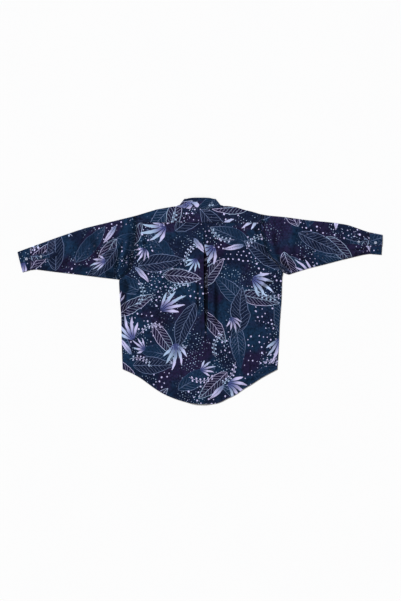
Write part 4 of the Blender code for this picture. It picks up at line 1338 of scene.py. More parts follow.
@dataclass
class Stitching:
    """Rows of topstitching over one part of the shirt, each stitch its own arched thread.

    Stitches below the shirt are pressed flat by the surface: depths past floor shrink to a share.
    """

    name: str
    pitch: float = 3.0
    share: float = 0.78
    arch: float = 0.16
    floor: float = 0.08
    pressed: float = 0.12

    def build(self, paths: list, material: bpy.types.Material) -> bpy.types.Object:
        """Stitches spaced evenly along each path.

        Args:
            paths: pairs of points and normals along the outer face of the cloth.
            material: the thread's finish.

        Returns:
            One joined mesh.
        """
        starts, ends, ups = [], [], []
        for points, normals in paths:
            length = lengths_along(points)
            at = np.arange(0, length[-1] - self.pitch, self.pitch)

            def sample(values: np.ndarray, where: np.ndarray) -> np.ndarray:
                """Values at lengths along the path."""
                return np.stack([np.interp(where, length, values[:, i]) for i in range(3)], 1)

            up = sample(normals, at + self.pitch / 2)
            starts.append(sample(points, at))
            ends.append(sample(points, at + self.pitch * self.share))
            ups.append(up / np.linalg.norm(up, axis=1, keepdims=True))
        rods = (np.vstack(starts), np.vstack(ends), np.vstack(ups))
        points, faces = capsules(*rods, THREAD_RADIUS, self.arch)
        under = points[:, 2] < self.floor
        points[under, 2] = self.floor + self.pressed * (points[under, 2] - self.floor)
        return cloth_object(self.name, points, faces, None, material)


@dataclass
class Button:
    """Four-hole button: a turned face with a raised rim and a dished middle.

    dish and bowl: where the slope starts, measured from the edge and from the centre, how wide it is
    and how deep. edge_steps: places of the rings round the rim in shares of a quarter turn.
    """

    radius: float
    thick: float = BUTTON_THICK
    rim: float = 0.55
    hole: float = 0.78
    hole_from_centre: float = 1.55
    hole_floor: float = 0.7
    hole_soft: float = 0.16
    rim_round: float = 0.7
    dish: tuple = (0.9, 0.8, 0.35)
    bowl: tuple = (2.9, 0.6, 0.15)
    centre: float = 0.02
    bevel: float = 0.5
    edge_steps: tuple = (0.2, 0.4, 0.6, 0.8, 1.0)
    thread_depth: float = 0.75
    rings: int = 26
    around: int = 60

    def face(self, r: np.ndarray, angle: np.ndarray) -> np.ndarray:
        """Height of the upper face: rim, dish and four holes sunk into it."""
        wide, soft, deep = self.dish
        top = self.thick - deep * ease((self.radius - wide - r) / soft)
        wide, soft, deep = self.bowl
        top = top - deep * ease((wide - r) / soft)
        top = top - self.rim * self.rim_round * ease((r - self.radius + self.rim) / self.rim) ** 2
        x, y = np.abs(r * np.cos(angle)), np.abs(r * np.sin(angle))
        middle = self.hole_from_centre / math.sqrt(2)
        apart = np.hypot(x - middle, y - middle)
        return top - (self.thick - self.hole_floor) * ease((self.hole - apart) / self.hole_soft)

    def arrays(self, x: float, y: float, seat: float, up: int, turned: float) -> tuple:
        """Points and faces at a seat.

        Args:
            x: place along X.
            y: place along Y.
            seat: height of the side that lies on the cloth.
            up: 1 where the face looks up and -1 where it looks down.
            turned: angle about the button's axis in radians.

        Returns:
            Points and four-cornered faces.
        """
        inner = np.linspace(self.centre, self.radius - self.rim, self.rings)
        outer = self.radius - self.rim * (1 - np.sin(np.array(self.edge_steps) * math.pi / 2))
        r = np.concatenate([inner, outer])
        angle = np.arange(self.around) * 2 * math.pi / self.around
        rr, aa = np.meshgrid(r, angle, indexing="ij")
        low_r = np.array([[self.radius], [self.radius - self.bevel], [self.centre]])
        low_z = np.array([[self.bevel], [0.0], [0.0]])
        r_all = np.concatenate([rr, np.tile(low_r, self.around)])
        z_all = np.concatenate([self.face(rr, aa), np.tile(low_z, self.around)])
        a_all = np.broadcast_to(angle + turned, r_all.shape)
        points = np.stack([x + r_all * np.cos(a_all), y + up * r_all * np.sin(a_all), seat + up * z_all], -1)
        faces = ring_faces(len(r_all), self.around)[:, [0, 3, 2, 1]]
        k = np.arange(self.around // 2 - 1)
        cap = np.stack([k, k + 1, self.around - 2 - k, self.around - 1 - k], 1)
        last = (len(r_all) - 1) * self.around
        return points.reshape(-1, 3), np.vstack([faces, cap, (cap + last)[:, ::-1]])

    def threads(self, x: float, y: float, seat: float, up: int, turned: float) -> tuple:
        """Ends of the crossed threads, and the directions away from the face."""
        middle = self.hole_from_centre
        angle = turned + np.array([0.25, 1.25, 0.75, 1.75]) * math.pi
        ends = np.column_stack([x + middle * np.cos(angle), y + up * middle * np.sin(angle),
                                np.full(4, seat + up * (self.thick - self.thread_depth))])
        pairs = ends.reshape(2, 2, 3)
        side = np.cross(pairs[:, 1] - pairs[:, 0], [0, 0, 1.0])
        side = side / np.linalg.norm(side, axis=1, keepdims=True) * THREAD_RADIUS
        starts = np.vstack([pairs[:, 0] + side, pairs[:, 0] - side])
        stops = np.vstack([pairs[:, 1] + side, pairs[:, 1] - side])
        return starts, stops, np.tile([0.0, 0.0, float(up)], (4, 1))


class Wire:
    """What flows out of a node. Python's signs on it make Math nodes."""

    def __init__(self, graph: "Graph", socket: bpy.types.NodeSocket) -> None:
        """Keeps the node's socket and its graph."""
        self.graph = graph
        self.socket = socket

    def math(self, operation: str, other: object = 0.0) -> "Wire":
        """One Math node on this, by the name of its operation."""
        return self.graph.math(operation, self, other)

    def __add__(self, other: object) -> "Wire":
        """Sum."""
        return self.math("ADD", other)

    def __sub__(self, other: object) -> "Wire":
        """Difference."""
        return self.math("SUBTRACT", other)

    def __rsub__(self, other: object) -> "Wire":
        """Difference from a number."""
        return self.graph.math("SUBTRACT", other, self)

    def __mul__(self, other: object) -> "Wire":
        """Product."""
        return self.math("MULTIPLY", other)

    def __truediv__(self, other: object) -> "Wire":
        """Quotient."""
        return self.math("DIVIDE", other)

    def __pow__(self, other: object) -> "Wire":
        """Power."""
        return self.math("POWER", other)

    def __abs__(self) -> "Wire":
        """Size without its sign."""
        return self.math("ABSOLUTE")

    def below(self, limit: float) -> "Wire":
        """1 where it is less than a limit, else 0."""
        return self.math("LESS_THAN", limit)

    def step(self, low: float, high: float) -> "Wire":
        """Smooth step from 0 at low to 1 at high."""
        return self.graph.wire("ShaderNodeMapRange", {0: self, 1: low, 2: high, 3: 0.0, 4: 1.0},
                               interpolation_type="SMOOTHSTEP")

    def moved(self, operation: str, other: object) -> "Wire":
        """One Vector Math node on this."""
        return self.graph.wire("ShaderNodeVectorMath", {0: self, 1: other}, operation=operation)

    def turned(self, angle: object) -> "Wire":
        """Vector turned about Z by an angle in radians."""
        inputs = {"Vector": self, "Angle": angle}
        return self.graph.wire("ShaderNodeVectorRotate", inputs, rotation_type="Z_AXIS")

    def parts(self) -> list:
        """The three numbers of a vector."""
        whole = self.graph.wire("ShaderNodeSeparateXYZ", {0: self})
        return [Wire(self.graph, socket) for socket in whole.socket.node.outputs]


class Graph:
    """A material's nodes."""

    def __init__(self, name: str) -> None:
        """Makes the material and finds its shader."""
        self.material = bpy.data.materials.new(name)
        self.material.use_nodes = True
        self.nodes = self.material.node_tree.nodes
        self.links = self.material.node_tree.links
        self.shader = self.nodes["Principled BSDF"]

    def feed(self, socket: bpy.types.NodeSocket, value: object) -> None:
        """Links a wire to a socket, or sets the socket's value."""
        if isinstance(value, Wire):
            self.links.new(value.socket, socket)
        else:
            socket.default_value = value.value if isinstance(value, Enum) else value

    def finish(self, inputs: dict) -> bpy.types.Material:
        """Sets or links the shader's sockets by name, and gives the material."""
        for name, value in inputs.items():
            self.feed(self.shader.inputs[name], value)
        return self.material

    def wire(self, kind: str, inputs: dict | None = None, output: object = 0, **settings: object) -> Wire:
        """Output of a new node with its settings, its inputs set or linked by name or number."""
        made = self.nodes.new(kind)
        for key, value in settings.items():
            setattr(made, key, value)
        for key, value in (inputs or {}).items():
            self.feed(made.inputs[key], value)
        return Wire(self, made.outputs[output])

    def math(self, operation: str, first: object, second: object) -> Wire:
        """One Math node, by the name of its operation."""
        return self.wire("ShaderNodeMath", {0: first, 1: second}, operation=operation)

    def mix(self, share: object, low: object, high: object, blend: str = "MIX") -> Wire:
        """Colour between two colours, or blended in another named way."""
        return self.wire("ShaderNodeMix", {0: share, 6: low, 7: high}, 2, data_type="RGBA", blend_type=blend)

    def noise(self, where: Wire, scale: float, detail: float = 2.0, rough: float = 0.5,
              output: int = 0) -> Wire:
        """Noise between about 0.3 and 0.7 at a scale of waves in a metre, or with output 1 its colour."""
        inputs = {"Vector": where, "Scale": scale, "Detail": detail, "Roughness": rough}
        return self.wire("ShaderNodeTexNoise", inputs, output)

    def join(self, x: object, y: object, z: object = 0.0) -> Wire:
        """Vector of three numbers."""
        return self.wire("ShaderNodeCombineXYZ", {0: x, 1: y, 2: z})

    def place(self) -> Wire:
        """Place on the piece itself, in metres."""
        return self.wire("ShaderNodeTexCoord", output="Object")


def apart(x: Wire, y: Wire) -> Wire:
    """Distance of a point from 0."""
    return (x * x + y * y).math("SQRT")


def stroke(away: Wire, line: tuple) -> Wire:
    """A drawn line: 1 on it, easing to 0 between the two distances of line."""
    return 1.0 - away.step(*line)


def rgb(red: int, green: int, blue: int) -> tuple:
    """Linear colour of a screen colour given in steps of 255."""
    share = np.array([red, green, blue]) / 255
    linear = np.where(share <= 0.04045, share / 12.92, ((share + 0.055) / 1.055) ** 2.4)
    return *(float(channel) for channel in linear), 1.0


class Ink(Enum):
    """Inks of the print."""

    NAVY = rgb(20, 30, 56)
    NIGHT = rgb(5, 9, 25)
    TEAL = rgb(20, 45, 73)
    PLUM = rgb(33, 28, 59)
    TONE = rgb(44, 62, 96)
    SLATE = rgb(112, 128, 166)
    VIOLET = rgb(76, 84, 142)
    ICE = rgb(166, 190, 222)
    LILAC = rgb(200, 196, 238)


@dataclass(frozen=True)
class Cell:
    """One lattice of the print: its pitch in millimetres, its turn in degrees, its seed, how far its
    motifs stray, as a share of the pitch, and the share of its cells that hold one."""

    pitch: float
    turn: float
    seed: float
    stray: float
    share: float = 1.0

    def spot(self, cloth: Wire) -> tuple:
        """Place in one motif's own axes.

        The cloth is cut into square cells, every second row shifted by half; each cell's motif is
        moved and turned at random, the same each time.

        Args:
            cloth: place on the cloth in millimetres.

        Returns:
            x and y in millimetres about the motif's centre, and three random numbers.
        """
        g = cloth.graph
        lattice = cloth.turned(math.radians(self.turn)).moved("MULTIPLY", (1 / self.pitch, 1 / self.pitch, 0))
        u, v, _ = lattice.parts()
        row = v.math("FLOOR")
        u = u + row.math("PINGPONG", 1.0) * 0.5
        column = u.math("FLOOR")
        key = g.join(column, row, self.seed)
        random = g.wire("ShaderNodeTexWhiteNoise", {"Vector": key}, 1, noise_dimensions="3D").parts()
        x = (random[0] - 0.5) * self.stray + (u - column - 0.5)
        y = (random[1] - 0.5) * self.stray + (v - row - 0.5)
        x, y, _ = g.join(x * self.pitch, y * self.pitch).turned(random[2] * (2 * math.pi)).parts()
        return x, y, random


@dataclass(frozen=True)
class Patch:
    """Soft patches of the cloth, by noise: where it starts and is full, its waves in a metre, its
    shift in metres, its detail and its roughness."""

    low: float
    high: float
    scale: float
    shift: tuple = (0.0, 0.0, 0.0)
    detail: float = 1.0
    rough: float = 0.5

    def mask(self, metres: Wire) -> Wire:
        """1 inside the patches and 0 outside."""
        where = metres.moved("ADD", self.shift)
        return metres.graph.noise(where, self.scale, self.detail, self.rough).step(self.low, self.high)


# The mottled ground: its patches, their ink and how strongly they cover what is under them
GROUND = (
    (Patch(0.42, 0.58, 7.0, detail=2.0), Ink.TEAL, 1.0),
    (Patch(0.49, 0.60, 6.0, (3.1, 7.7, 2.0), 2.0), Ink.PLUM, 1.0),
    (Patch(0.42, 0.66, 70.0, detail=3.0, rough=0.6), Ink.NIGHT, 0.6),
)

# Rings and dots: lattice, patches, least and greatest half width, width of a ring's line, ink, cover
DOTS = (
    (Cell(13.0, 25.0, 15.0, 0.3, 0.85), Patch(0.50, 0.55, 6.0, (2.0, 4.0, 19.0)),
     2.4, 4.6, 1.1, Ink.TONE, 0.7),
    (Cell(21.0, 8.0, 5.0, 0.5, 0.66), Patch(0.47, 0.52, 6.0, (11.0, 4.0, 5.0)),
     1.5, 4.3, 0.0, Ink.LILAC, 1.0),
    (Cell(12.0, 40.0, 6.0, 0.5, 0.65), Patch(0.49, 0.54, 7.0, (5.0, 14.0, 9.0)),
     0.8, 2.2, 0.0, Ink.ICE, 1.0),
)

# Inks that change over the cloth, and the wavering edges of the motifs
PALE = Patch(0.42, 0.58, 8.0, (1.0, 2.0, 8.0))
DIM = Patch(0.40, 0.60, 8.0, (1.0, 2.0, 8.0))
LEAF_SHADE = Patch(0.40, 0.62, 90.0, detail=2.0)
WAVER = (7.0, 7.0, 0.0)
WAVER_SCALE = 45.0

# Broad leaves: lattice, length, half width and ink of the body
LEAVES = (
    (Cell(205.0, 27.0, 3.0, 0.3, 0.8), 92.0, 34.0, Ink.TEAL),
    (Cell(231.0, -21.0, 29.0, 0.35, 0.8), 84.0, 30.0, Ink.PLUM),
    (Cell(252.0, 58.0, 43.0, 0.3, 0.8), 100.0, 36.0, Ink.NAVY),
)

# Palm fans: lattice, reach, half width of a leaflet and angle between two
FANS = (
    (Cell(247.0, -38.0, 51.0, 0.4, 0.66), 122.0, 7.4, 0.36),
    (Cell(196.0, 12.0, 83.0, 0.5, 0.34), 74.0, 4.8, 0.40),
)

# Sprig and small leaf: lattice, length, and the berries' pitch or the leaf's half width
SPRIG = (Cell(158.0, 52.0, 37.0, 0.35, 0.45), 58.0, 17.0)
SMALL_LEAF = (Cell(173.0, 66.0, 67.0, 0.4, 0.26), 46.0, 11.0)


@dataclass(frozen=True)
class PrintedCotton:
    """Dark cotton poplin with a tossed print of broad leaves, palm fans, sprigs and dots.

    The motifs are worked out in the cut's own millimetres, so they run true to each panel's grain.
    A pair of numbers gives the distances, in millimetres or in shares of a pitch, between which a
    drawn line or edge eases away.
    """

    weave: float = 0.36
    weave_depth: float = 0.00006
    weave_strength: float = 0.35
    weave_shade: float = 0.06
    slub_scale: float = 900.0
    slub_shade: float = 0.25
    slub_rough: float = 0.12
    least_shade: float = 0.86
    least_rough: float = 0.76
    fold_shade: float = 0.82
    ripple_scale: float = 15.0
    ripple_depth: float = 0.0026
    ripple_strength: float = 0.6
    leaf_shade: float = 0.4
    leaf_fullness: float = 0.8
    leaf_taper: float = 0.3
    edge_line: tuple = (0.5, 1.4)
    rib_line: tuple = (0.4, 1.2)
    vein_line: tuple = (0.02, 0.07)
    vein_pitch: float = 17.0
    vein_slant: float = 1.1
    vein_inset: tuple = (3.0, 4.2)
    vein_cover: float = 0.75
    leaf_cover: float = 0.9
    small_fade: tuple = (-0.9, 0.5)
    body_edge: tuple = (-0.6, 0.6)
    small_edge: tuple = (-0.2, 0.9)
    small_rib: tuple = (0.35, 1.1)
    small_vein: tuple = (0.03, 0.09)
    small_vein_pitch: float = 8.0
    small_vein_reach: tuple = (4.8, 6.4)
    fan_curl: float = 0.0022
    fan_outermost: float = 2.0
    fan_shorter: float = 0.16
    fan_fullness: float = 0.7
    fan_foot: float = 0.41
    fan_edge: tuple = (0.0, 1.2)
    fan_fade: tuple = (0.15, 0.7)
    sprig_bow: float = 0.006
    sprig_line: tuple = (0.4, 1.0)
    berry_away: float = 7.5
    berry_edge: tuple = (3.0, 3.9)
    stem_line: tuple = (0.2, 0.6)
    stem_reach: float = 6.0
    sprig_bare: float = 0.9
    dot_edge: tuple = (-0.2, 0.6)
    ring_edge: tuple = (-0.3, 0.3)

    def leaf(self, x: Wire, y: Wire, length: float, wide: float) -> tuple:
        """Distance inside a leaf's edge, distance from its rib, and share along it from -1 to 1.

        Half its width falls as (1 - t²) to the power of its fullness, a little wider at its stalk.
        """
        t = x / length
        rib = abs(y)
        room = (1.0 - t * t).math("MAXIMUM", 0.0) ** self.leaf_fullness
        return room * wide * (1.0 - t * self.leaf_taper) - rib, rib, t

    def veins(self, x: Wire, rib: Wire, slant: float, pitch: float) -> Wire:
        """Distance from the nearest side vein, in shares of the veins' pitch."""
        return abs(((x - rib * slant) / pitch).math("FRACT") - 0.5)

    def small_leaf(self, x: Wire, y: Wire, length: float, wide: float) -> tuple:
        """Filled leaf with its rib and side veins left out, and its share along."""
        inside, rib, t = self.leaf(x, y, length, wide)
        veins = self.veins(x, rib, 1.0, self.small_vein_pitch).step(*self.small_vein)
        side = veins.math("MAXIMUM", rib.step(*self.small_vein_reach))
        return inside.step(*self.small_edge) * rib.step(*self.small_rib) * side * abs(t).below(1.0), t

    def broad_leaf(self, x: Wire, y: Wire, length: float, wide: float) -> tuple:
        """Broad leaf drawn in thin line: its body, and the lines of its edge, rib and side veins."""
        inside, rib, t = self.leaf(x, y, length, wide)
        body = inside.step(*self.body_edge) * abs(t).below(1.0)
        vein = stroke(self.veins(x, rib, self.vein_slant, self.vein_pitch), self.vein_line)
        vein = vein * inside.step(*self.vein_inset) * self.vein_cover
        lines = stroke(abs(inside), self.edge_line).math("MAXIMUM", stroke(rib, self.rib_line))
        return body, lines.math("MAXIMUM", vein) * abs(t).below(1.01)

    def fan(self, x: Wire, y: Wire, reach: float, wide: float, spread: float) -> tuple:
        """Palm fan: five brushed leaflets from one foot, each widest at its middle.

        A point's leaflet is the nearest in angle; outer leaflets are shorter.

        Returns:
            The fan's mask and the share along the leaflet.
        """
        along = x + reach / 2
        r = apart(along, y)
        angle = y.math("ARCTAN2", along) + r * self.fan_curl
        leaflet = (angle / spread).math("ROUND").math("MINIMUM", self.fan_outermost)
        leaflet = leaflet.math("MAXIMUM", -self.fan_outermost)
        away = r * abs(angle - leaflet * spread)
        t = r / ((1.0 - abs(leaflet) * self.fan_shorter) * reach)
        half = ((t * (1.0 - t)).math("MAXIMUM", 0.0) * 4.0) ** self.fan_fullness * wide
        half = half.math("MINIMUM", r * (self.fan_foot * spread))
        return (half - away).step(*self.fan_edge) * abs(t).below(1.0), t

    def sprig(self, x: Wire, y: Wire, length: float, pitch: float) -> Wire:
        """Bowed stalk with pairs of berries on short stems."""
        away = abs(y - x * x * self.sprig_bow)
        t = abs(x / length)
        stalk = stroke(away, self.sprig_line) * t.below(1.0)
        along = ((x / pitch).math("FRACT") - 0.5) * pitch
        berry = stroke(apart(along, away - self.berry_away), self.berry_edge)
        stem = stroke(abs(along), self.stem_line) * away.below(self.stem_reach)
        return stalk.math("MAXIMUM", berry.math("MAXIMUM", stem) * t.below(self.sprig_bare))

    def dots(self, cloth: Wire, cell: Cell, least: float, most: float, ring: float) -> Wire:
        """Small spots, or rings with lines of a width ring, of differing size."""
        x, y, random = cell.spot(cloth)
        far = apart(x, y)
        size = random[2] * (most - least) + least
        spot = (size - far).step(*self.dot_edge) * random[0].below(cell.share)
        return spot * (far - size + ring).step(*self.ring_edge) if ring else spot

    def printed(self, metres: Wire) -> Wire:
        """The whole print, its layers from the ground up, each motif's edge slightly uneven."""
        g = metres.graph
        waver = g.noise(metres, WAVER_SCALE, 1.0, output=1).moved("MULTIPLY", WAVER)
        cloth = metres.moved("MULTIPLY", (1 / MM, 1 / MM, 0.0)).moved("ADD", waver)
        colour = Ink.NAVY
        for patch, ink, cover in GROUND:
            colour = g.mix(patch.mask(metres) * cover, colour, ink)
        for cell, patch, least, most, ring, ink, cover in DOTS:
            spots = self.dots(cloth, cell, least, most, ring) * patch.mask(metres)
            colour = g.mix(spots * cover, colour, ink)
        pale = g.mix(PALE.mask(metres), Ink.ICE, Ink.LILAC)
        dim = g.mix(DIM.mask(metres), Ink.SLATE, Ink.TONE)
        shade = LEAF_SHADE.mask(metres) * self.leaf_shade
        for (cell, *size, body_ink), line_ink in zip(LEAVES, (dim, pale, Ink.SLATE)):
            x, y, random = cell.spot(cloth)
            cover = random[0].below(cell.share) * self.leaf_cover
            body, lines = self.broad_leaf(x, y, *size)
            colour = g.mix(body * cover, colour, g.mix(shade, body_ink, Ink.NIGHT))
            colour = g.mix(lines * cover, colour, line_ink)
        cell, *size = SPRIG
        x, y, random = cell.spot(cloth)
        colour = g.mix(self.sprig(x, y, *size) * random[0].below(cell.share), colour, pale)
        for cell, *size in FANS:
            x, y, random = cell.spot(cloth)
            fan, t = self.fan(x, y, *size)
            fade = g.mix(t.step(*self.fan_fade), Ink.VIOLET, pale)
            colour = g.mix(fan * random[1].below(cell.share), colour, fade)
        cell, *size = SMALL_LEAF
        x, y, random = cell.spot(cloth)
        leaf, t = self.small_leaf(x, y, *size)
        fade = g.mix(t.step(*self.small_fade), Ink.SLATE, Ink.LILAC)
        return g.mix(leaf * random[0].below(cell.share), colour, fade)

    def material(self) -> bpy.types.Material:
        """The cloth: print, faded threads, weave and slight unevenness, painted shade in folds and seams, a
        soft dull sheen.
        """
        g = Graph("printed_cotton")
        metres = g.wire("ShaderNodeUVMap", uv_map="cut")
        turn = 2 * math.pi / (self.weave * MM)
        u, v, _ = metres.parts()
        threads = (u * turn).math("SINE") * (v * turn).math("SINE")
        slub = g.noise(metres, self.slub_scale)
        # Painted shade: the attribute darkens the print in folds, troughs and seams
        sunk = g.wire("ShaderNodeAttribute", output="Fac", attribute_name="painted_shade")
        shade = threads * self.weave_shade + slub * self.slub_shade + self.least_shade
        shade = shade * (1.0 - sunk * self.fold_shade)
        waves = g.noise(metres, self.ripple_scale, 3.0)
        ripple = g.wire("ShaderNodeBump", {"Strength": self.ripple_strength, "Distance": self.ripple_depth,
                                           "Height": waves})
        weave = g.wire("ShaderNodeBump", {"Strength": self.weave_strength, "Distance": self.weave_depth,
                                          "Height": threads, "Normal": ripple})
        shaded = g.mix(1.0, self.printed(metres), g.join(shade, shade, shade), "MULTIPLY")
        return g.finish({"Base Color": shaded, "Roughness": slub * self.slub_rough + self.least_rough,
                         "Normal": weave, "Sheen Weight": 0.02, "Sheen Roughness": 0.3,
                         "Specular IOR Level": 0.05})


@dataclass(frozen=True)
class PearlButton:
    """Pale grey-blue button with a cloudy, faintly streaked depth."""

    light: tuple = rgb(188, 196, 216)
    dark: tuple = rgb(128, 138, 164)
    least_rough: float = 0.21
    cloud_rough: float = 0.14
    cloud_scale: float = 260.0
    streak_scale: float = 180.0
    streak_long: tuple = (1.0, 5.0, 1.0)
    cloud_share: float = 0.6
    contrast: tuple = (0.38, 0.62)

    def material(self) -> bpy.types.Material:
        """Cloudy colour by noise on the button's own place."""
        g = Graph("pearl_button")
        where = g.place()
        cloud = g.noise(where, self.cloud_scale, 3.0)
        streak = g.noise(where.moved("MULTIPLY", self.streak_long), self.streak_scale)
        share = (cloud * self.cloud_share + streak * (1 - self.cloud_share)).step(*self.contrast)
        return g.finish({"Base Color": g.mix(share, self.dark, self.light),
                         "Roughness": cloud * self.cloud_rough + self.least_rough,
                         "Coat Weight": 0.3, "Coat Roughness": 0.15})


@dataclass(frozen=True)
class SewingThread:
    """Twisted cotton thread in one colour, with so many twists a metre."""

    name: str
    colour: tuple
    twist: float = 2600.0
    shade: float = 0.6
    ply_edge: tuple = (-0.8, 0.8)

    def material(self) -> bpy.types.Material:
        """Colour shaded by a fine slanting twist."""
        g = Graph(self.name)
        x, y, z = g.place().parts()
        ply = ((x + y + z) * (self.twist * 2 * math.pi)).math("SINE")
        dark = tuple(channel * self.shade for channel in self.colour[:3]) + (1.0,)
        return g.finish({"Base Color": g.mix(ply.step(*self.ply_edge), dark, self.colour),
                         "Roughness": 0.6, "Sheen Weight": 0.2})


@dataclass
class Studio:
    """Pale floor, soft light from above and one side, and a camera straight above."""

    mm_a_pixel: float = 4.3
    width: int = 401
    height: int = 601
    centre_px: tuple = (200.0, 300.85)
    lens: float = 100.0
    sensor: float = 36.0
    softness: float = 14.0
    reach: float = 6.0
    bearing: float = 132.0
    height_angle: float = 35.0
    sunlight: float = 4.2
    room_light: float = 0.28

    def floor(self) -> None:
        """Wide pale sheet under the shirt."""
        reach = self.reach
        mesh = bpy.data.meshes.new("floor")
        corners = [(-reach, -reach, 0), (reach, -reach, 0), (reach, reach, 0), (-reach, reach, 0)]
        mesh.from_pydata(corners, [], [(0, 1, 2, 3)])
        g = Graph("paper")
        tint = g.mix(g.noise(g.place(), 3.0), (0.93, 0.93, 0.935, 1), (0.94, 0.94, 0.94, 1))
        mesh.materials.append(g.finish({"Base Color": tint, "Roughness": 0.9, "Specular IOR Level": 0.1}))
        linked("floor", mesh)

    def sun(self) -> None:
        """Wide soft light from one side, the same all over the floor."""
        data = bpy.data.lights.new("key", "SUN")
        data.energy = self.sunlight
        data.angle = math.radians(self.softness)
        made = linked("key", data)
        made.rotation_euler = (0, math.radians(90 - self.height_angle), math.radians(self.bearing))

    def build(self) -> None:
        """Makes floor, lights, surrounding light and camera."""
        self.floor()
        self.sun()
        world = bpy.data.worlds.new("room")
        world.use_nodes = True
        colour, strength = world.node_tree.nodes["Background"].inputs[:2]
        colour.default_value = (1.0, 1.0, 1.0, 1.0)
        strength.default_value = self.room_light
        bpy.context.scene.world = world
        camera = bpy.data.cameras.new("camera")
        camera.lens = self.lens
        camera.sensor_width = self.sensor
        made = linked("camera", camera)
        step = self.mm_a_pixel * MM
        x = (self.width / 2 - self.centre_px[0]) * step
        y = (self.centre_px[1] - self.height / 2) * step
        far = self.height * step / 2 / (self.sensor / 2 / self.lens)
        made.location = (x, y, far)
        bpy.context.scene.camera = made
        bpy.context.scene.view_settings.view_transform = "Standard"


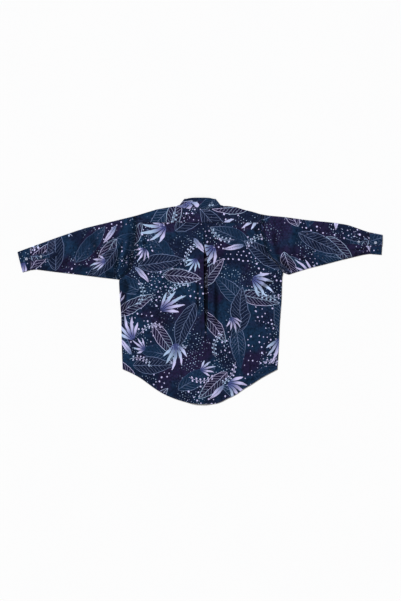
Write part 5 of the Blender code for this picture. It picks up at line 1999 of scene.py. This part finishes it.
@dataclass
class Shirt:
    """The whole shirt: builds each panel, its stitching and its buttons, and dresses them.

    Turns are angles of the buttons about their axes, in radians.
    """

    cloth: bpy.types.Material
    pearl: bpy.types.Material
    thread: bpy.types.Material
    button_thread: bpy.types.Material
    button_radius: float = 5.75
    placket_button_radius: float = 5.0
    button_gap: float = 0.15
    placket_button_gap: float = 0.1
    thread_arch: float = 0.3
    front_button_turn: float = 0.3
    cuff_button_turn: tuple = (0.4, 0.3)
    placket_button_turn: float = 0.9
    back_seam_end_y: float = -95.0
    front_button_ys: tuple = (330.0, 275.0, 188.0, 101.0, 14.0, -73.0, -160.0, -247.0)

    def cloth_piece(self, sheet: Sheet, node: str, flat: tuple, rests_on: tuple) -> None:
        """Builds one panel in place of its node and logs its area of cloth.

        Args:
            sheet: the panel.
            node: the node that it stands for.
            flat: width and length of the rectangle that the cut fits in, in metres.
            rests_on: nodes under it; not used.
        """
        made = place(sheet.build(self.cloth), "printed_cotton", node)
        area = sheet.area()
        share = area / flat[0] / flat[1]
        LOG.info("%s: %.4f square metres of cloth, %.2f of its rectangle", sheet.name, area, share)

    def stitch(self, name: str, paths: list) -> None:
        """One piece of topstitching along paths."""
        place(Stitching(name).build(paths, self.thread), "printed_cotton")

    def body(self) -> None:
        """Back, yoke and fronts with their seams."""
        back, yoke = BackPanel().sheet(), Yoke().sheet()
        self.cloth_piece(back, "back", (0.76, 0.785), ("front_left", "front_right"))
        self.cloth_piece(yoke, "yoke", (0.56, 0.115), ("front_left", "front_right"))
        for side in Side:
            other = "floor" if side is Side.LEFT else "front_left"
            front = Front(side).sheet()
            self.cloth_piece(front, f"front_{side.word}", (0.385, 0.80), (other,))
            self.front_stitches(front, side)
        under = np.searchsorted(-back.points[:, 0, 1], self.back_seam_end_y)
        paths = [back.along_row(-3, 1, 400)]
        paths += [back.down_column(column, 1, under, 200) for column in (4, -4)]
        self.stitch("back_stitches", paths)
        paths = [yoke.along_row(row, 0.5, 400) for row in (-1, -4)]
        paths += [yoke.down_column(column, -Yoke.stitched_rows, -1, 40) for column in (4, -4)]
        self.stitch("yoke_stitches", paths)

    def front_stitches(self, front: Sheet, side: Side) -> None:
        """Stitching along the hem, and down both edges of the band that laps over."""
        paths = [front.along_row(-3, 1, 300)]
        if side is Side.LEFT:
            across = front.points[len(front.points) // 2, :, 0]
            order = np.argsort(across)
            for x in BAND_STITCHES:
                column = float(np.interp(x, across[order], order))
                paths.append(front.down_column(column, 4, -3, 300))
        self.stitch(f"front_{side.word}_stitches", paths)

    def arms(self) -> None:
        """Sleeves, plackets and cuffs, with stitching and buttons."""
        for side in Side:
            sleeve = Sleeve(side)
            tube, cuff, placket = sleeve.sheet(), Cuff(side).sheet(), Placket(side, sleeve).sheet()
            self.cloth_piece(tube, f"sleeve_{side.word}", (0.62, 0.52), ("floor",))
            self.cloth_piece(cuff, f"cuff_{side.word}", (0.225, 0.056), ("floor",))
            self.cloth_piece(placket, f"placket_{side.word}", (0.026, 0.17), (f"sleeve_{side.word}",))
            paths = [cuff.along_row(row, 0.5, 200) for row in (1, -3)]
            paths.append(cuff.down_column(side.value, 1, -1, 30))
            paths += [placket.down_column(column, 4, 0, 80) for column in (1, -1)]
            paths.append(placket.along_row(7, 1, 20))
            self.stitch(f"cuff_{side.word}_stitches", paths)
            self.arm_buttons(side, placket)

    def arm_buttons(self, side: Side, placket: Sheet) -> None:
        """Button on the cuff and a smaller one on the placket."""
        x, y = SLEEVE_SHAPES[side].cuff_button
        seat = REST + 2 * LAYER + Cuff.thickness / 2 + self.button_gap
        turned, more = self.cuff_button_turn
        turned += more * side.value
        self.button(f"cuff_button_{side.word}", Button(self.button_radius), (x, y, seat), 1, turned)
        low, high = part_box(f"placket_button_{side.word}")
        centre = (np.array(low) + np.array(high)) / 2 / MM
        flat = placket.points[..., :2].reshape(-1, 2)
        nearest = np.argmin(np.hypot(*(flat - centre[:2]).T))
        seat = placket.points[..., 2].ravel()[nearest] + Placket.thickness / 2 + self.placket_button_gap
        shape = Button(self.placket_button_radius)
        turned = self.placket_button_turn
        self.button(f"placket_button_{side.word}", shape, (centre[0], centre[1], seat), 1, turned)

    def button(self, node: str, shape: Button, seat: tuple, up: int, turned: float) -> None:
        """One button in place of its node, with its thread."""
        points, faces = shape.arrays(*seat, up, turned)
        made = place(cloth_object(f"{node}_pearl", points, faces, None, self.pearl), "button", node)
        points, faces = capsules(*shape.threads(*seat, up, turned), THREAD_RADIUS, self.thread_arch)
        sewn = cloth_object(f"{node}_thread", points, faces, None, self.button_thread)
        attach(sewn, "root")
        LOG.info("%s stands for %s", made.name, node)

    def collar(self) -> None:
        """Stand and leaf with the leaf's edge stitching."""
        stand = CollarStand()
        leaf = CollarLeaf(stand).sheet()
        self.cloth_piece(stand.sheet(), "collar_stand", (0.43, 0.036), ("yoke",))
        self.cloth_piece(leaf, "collar", (0.46, 0.085), ("collar_stand",))
        self.stitch("collar_stitches", [leaf.along_row(-3.4, 1, 300)])

    def front_buttons(self) -> None:
        """Seven buttons down the front and one on the stand, all looking down."""
        for number, y in enumerate(self.front_button_ys):
            seat = float(LAY.front(0.0, y)) - CLOTH / 2 - self.button_gap
            shape, turned = Button(self.button_radius), self.front_button_turn + number
            self.button(f"front_button_{number}", shape, (0.0, y, seat), -1, turned)


def main() -> None:
    """Builds the shirt and the studio."""
    logging.basicConfig(level=logging.INFO, format="%(message)s")
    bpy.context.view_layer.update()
    shirt = Shirt(
        cloth=PrintedCotton().material(),
        pearl=PearlButton().material(),
        thread=SewingThread("seam_thread", rgb(40, 50, 84)).material(),
        button_thread=SewingThread("button_thread", rgb(120, 130, 160)).material(),
    )
    shirt.body()
    shirt.arms()
    shirt.collar()
    shirt.front_buttons()
    Studio().build()


if __name__ == "__main__":
    main()
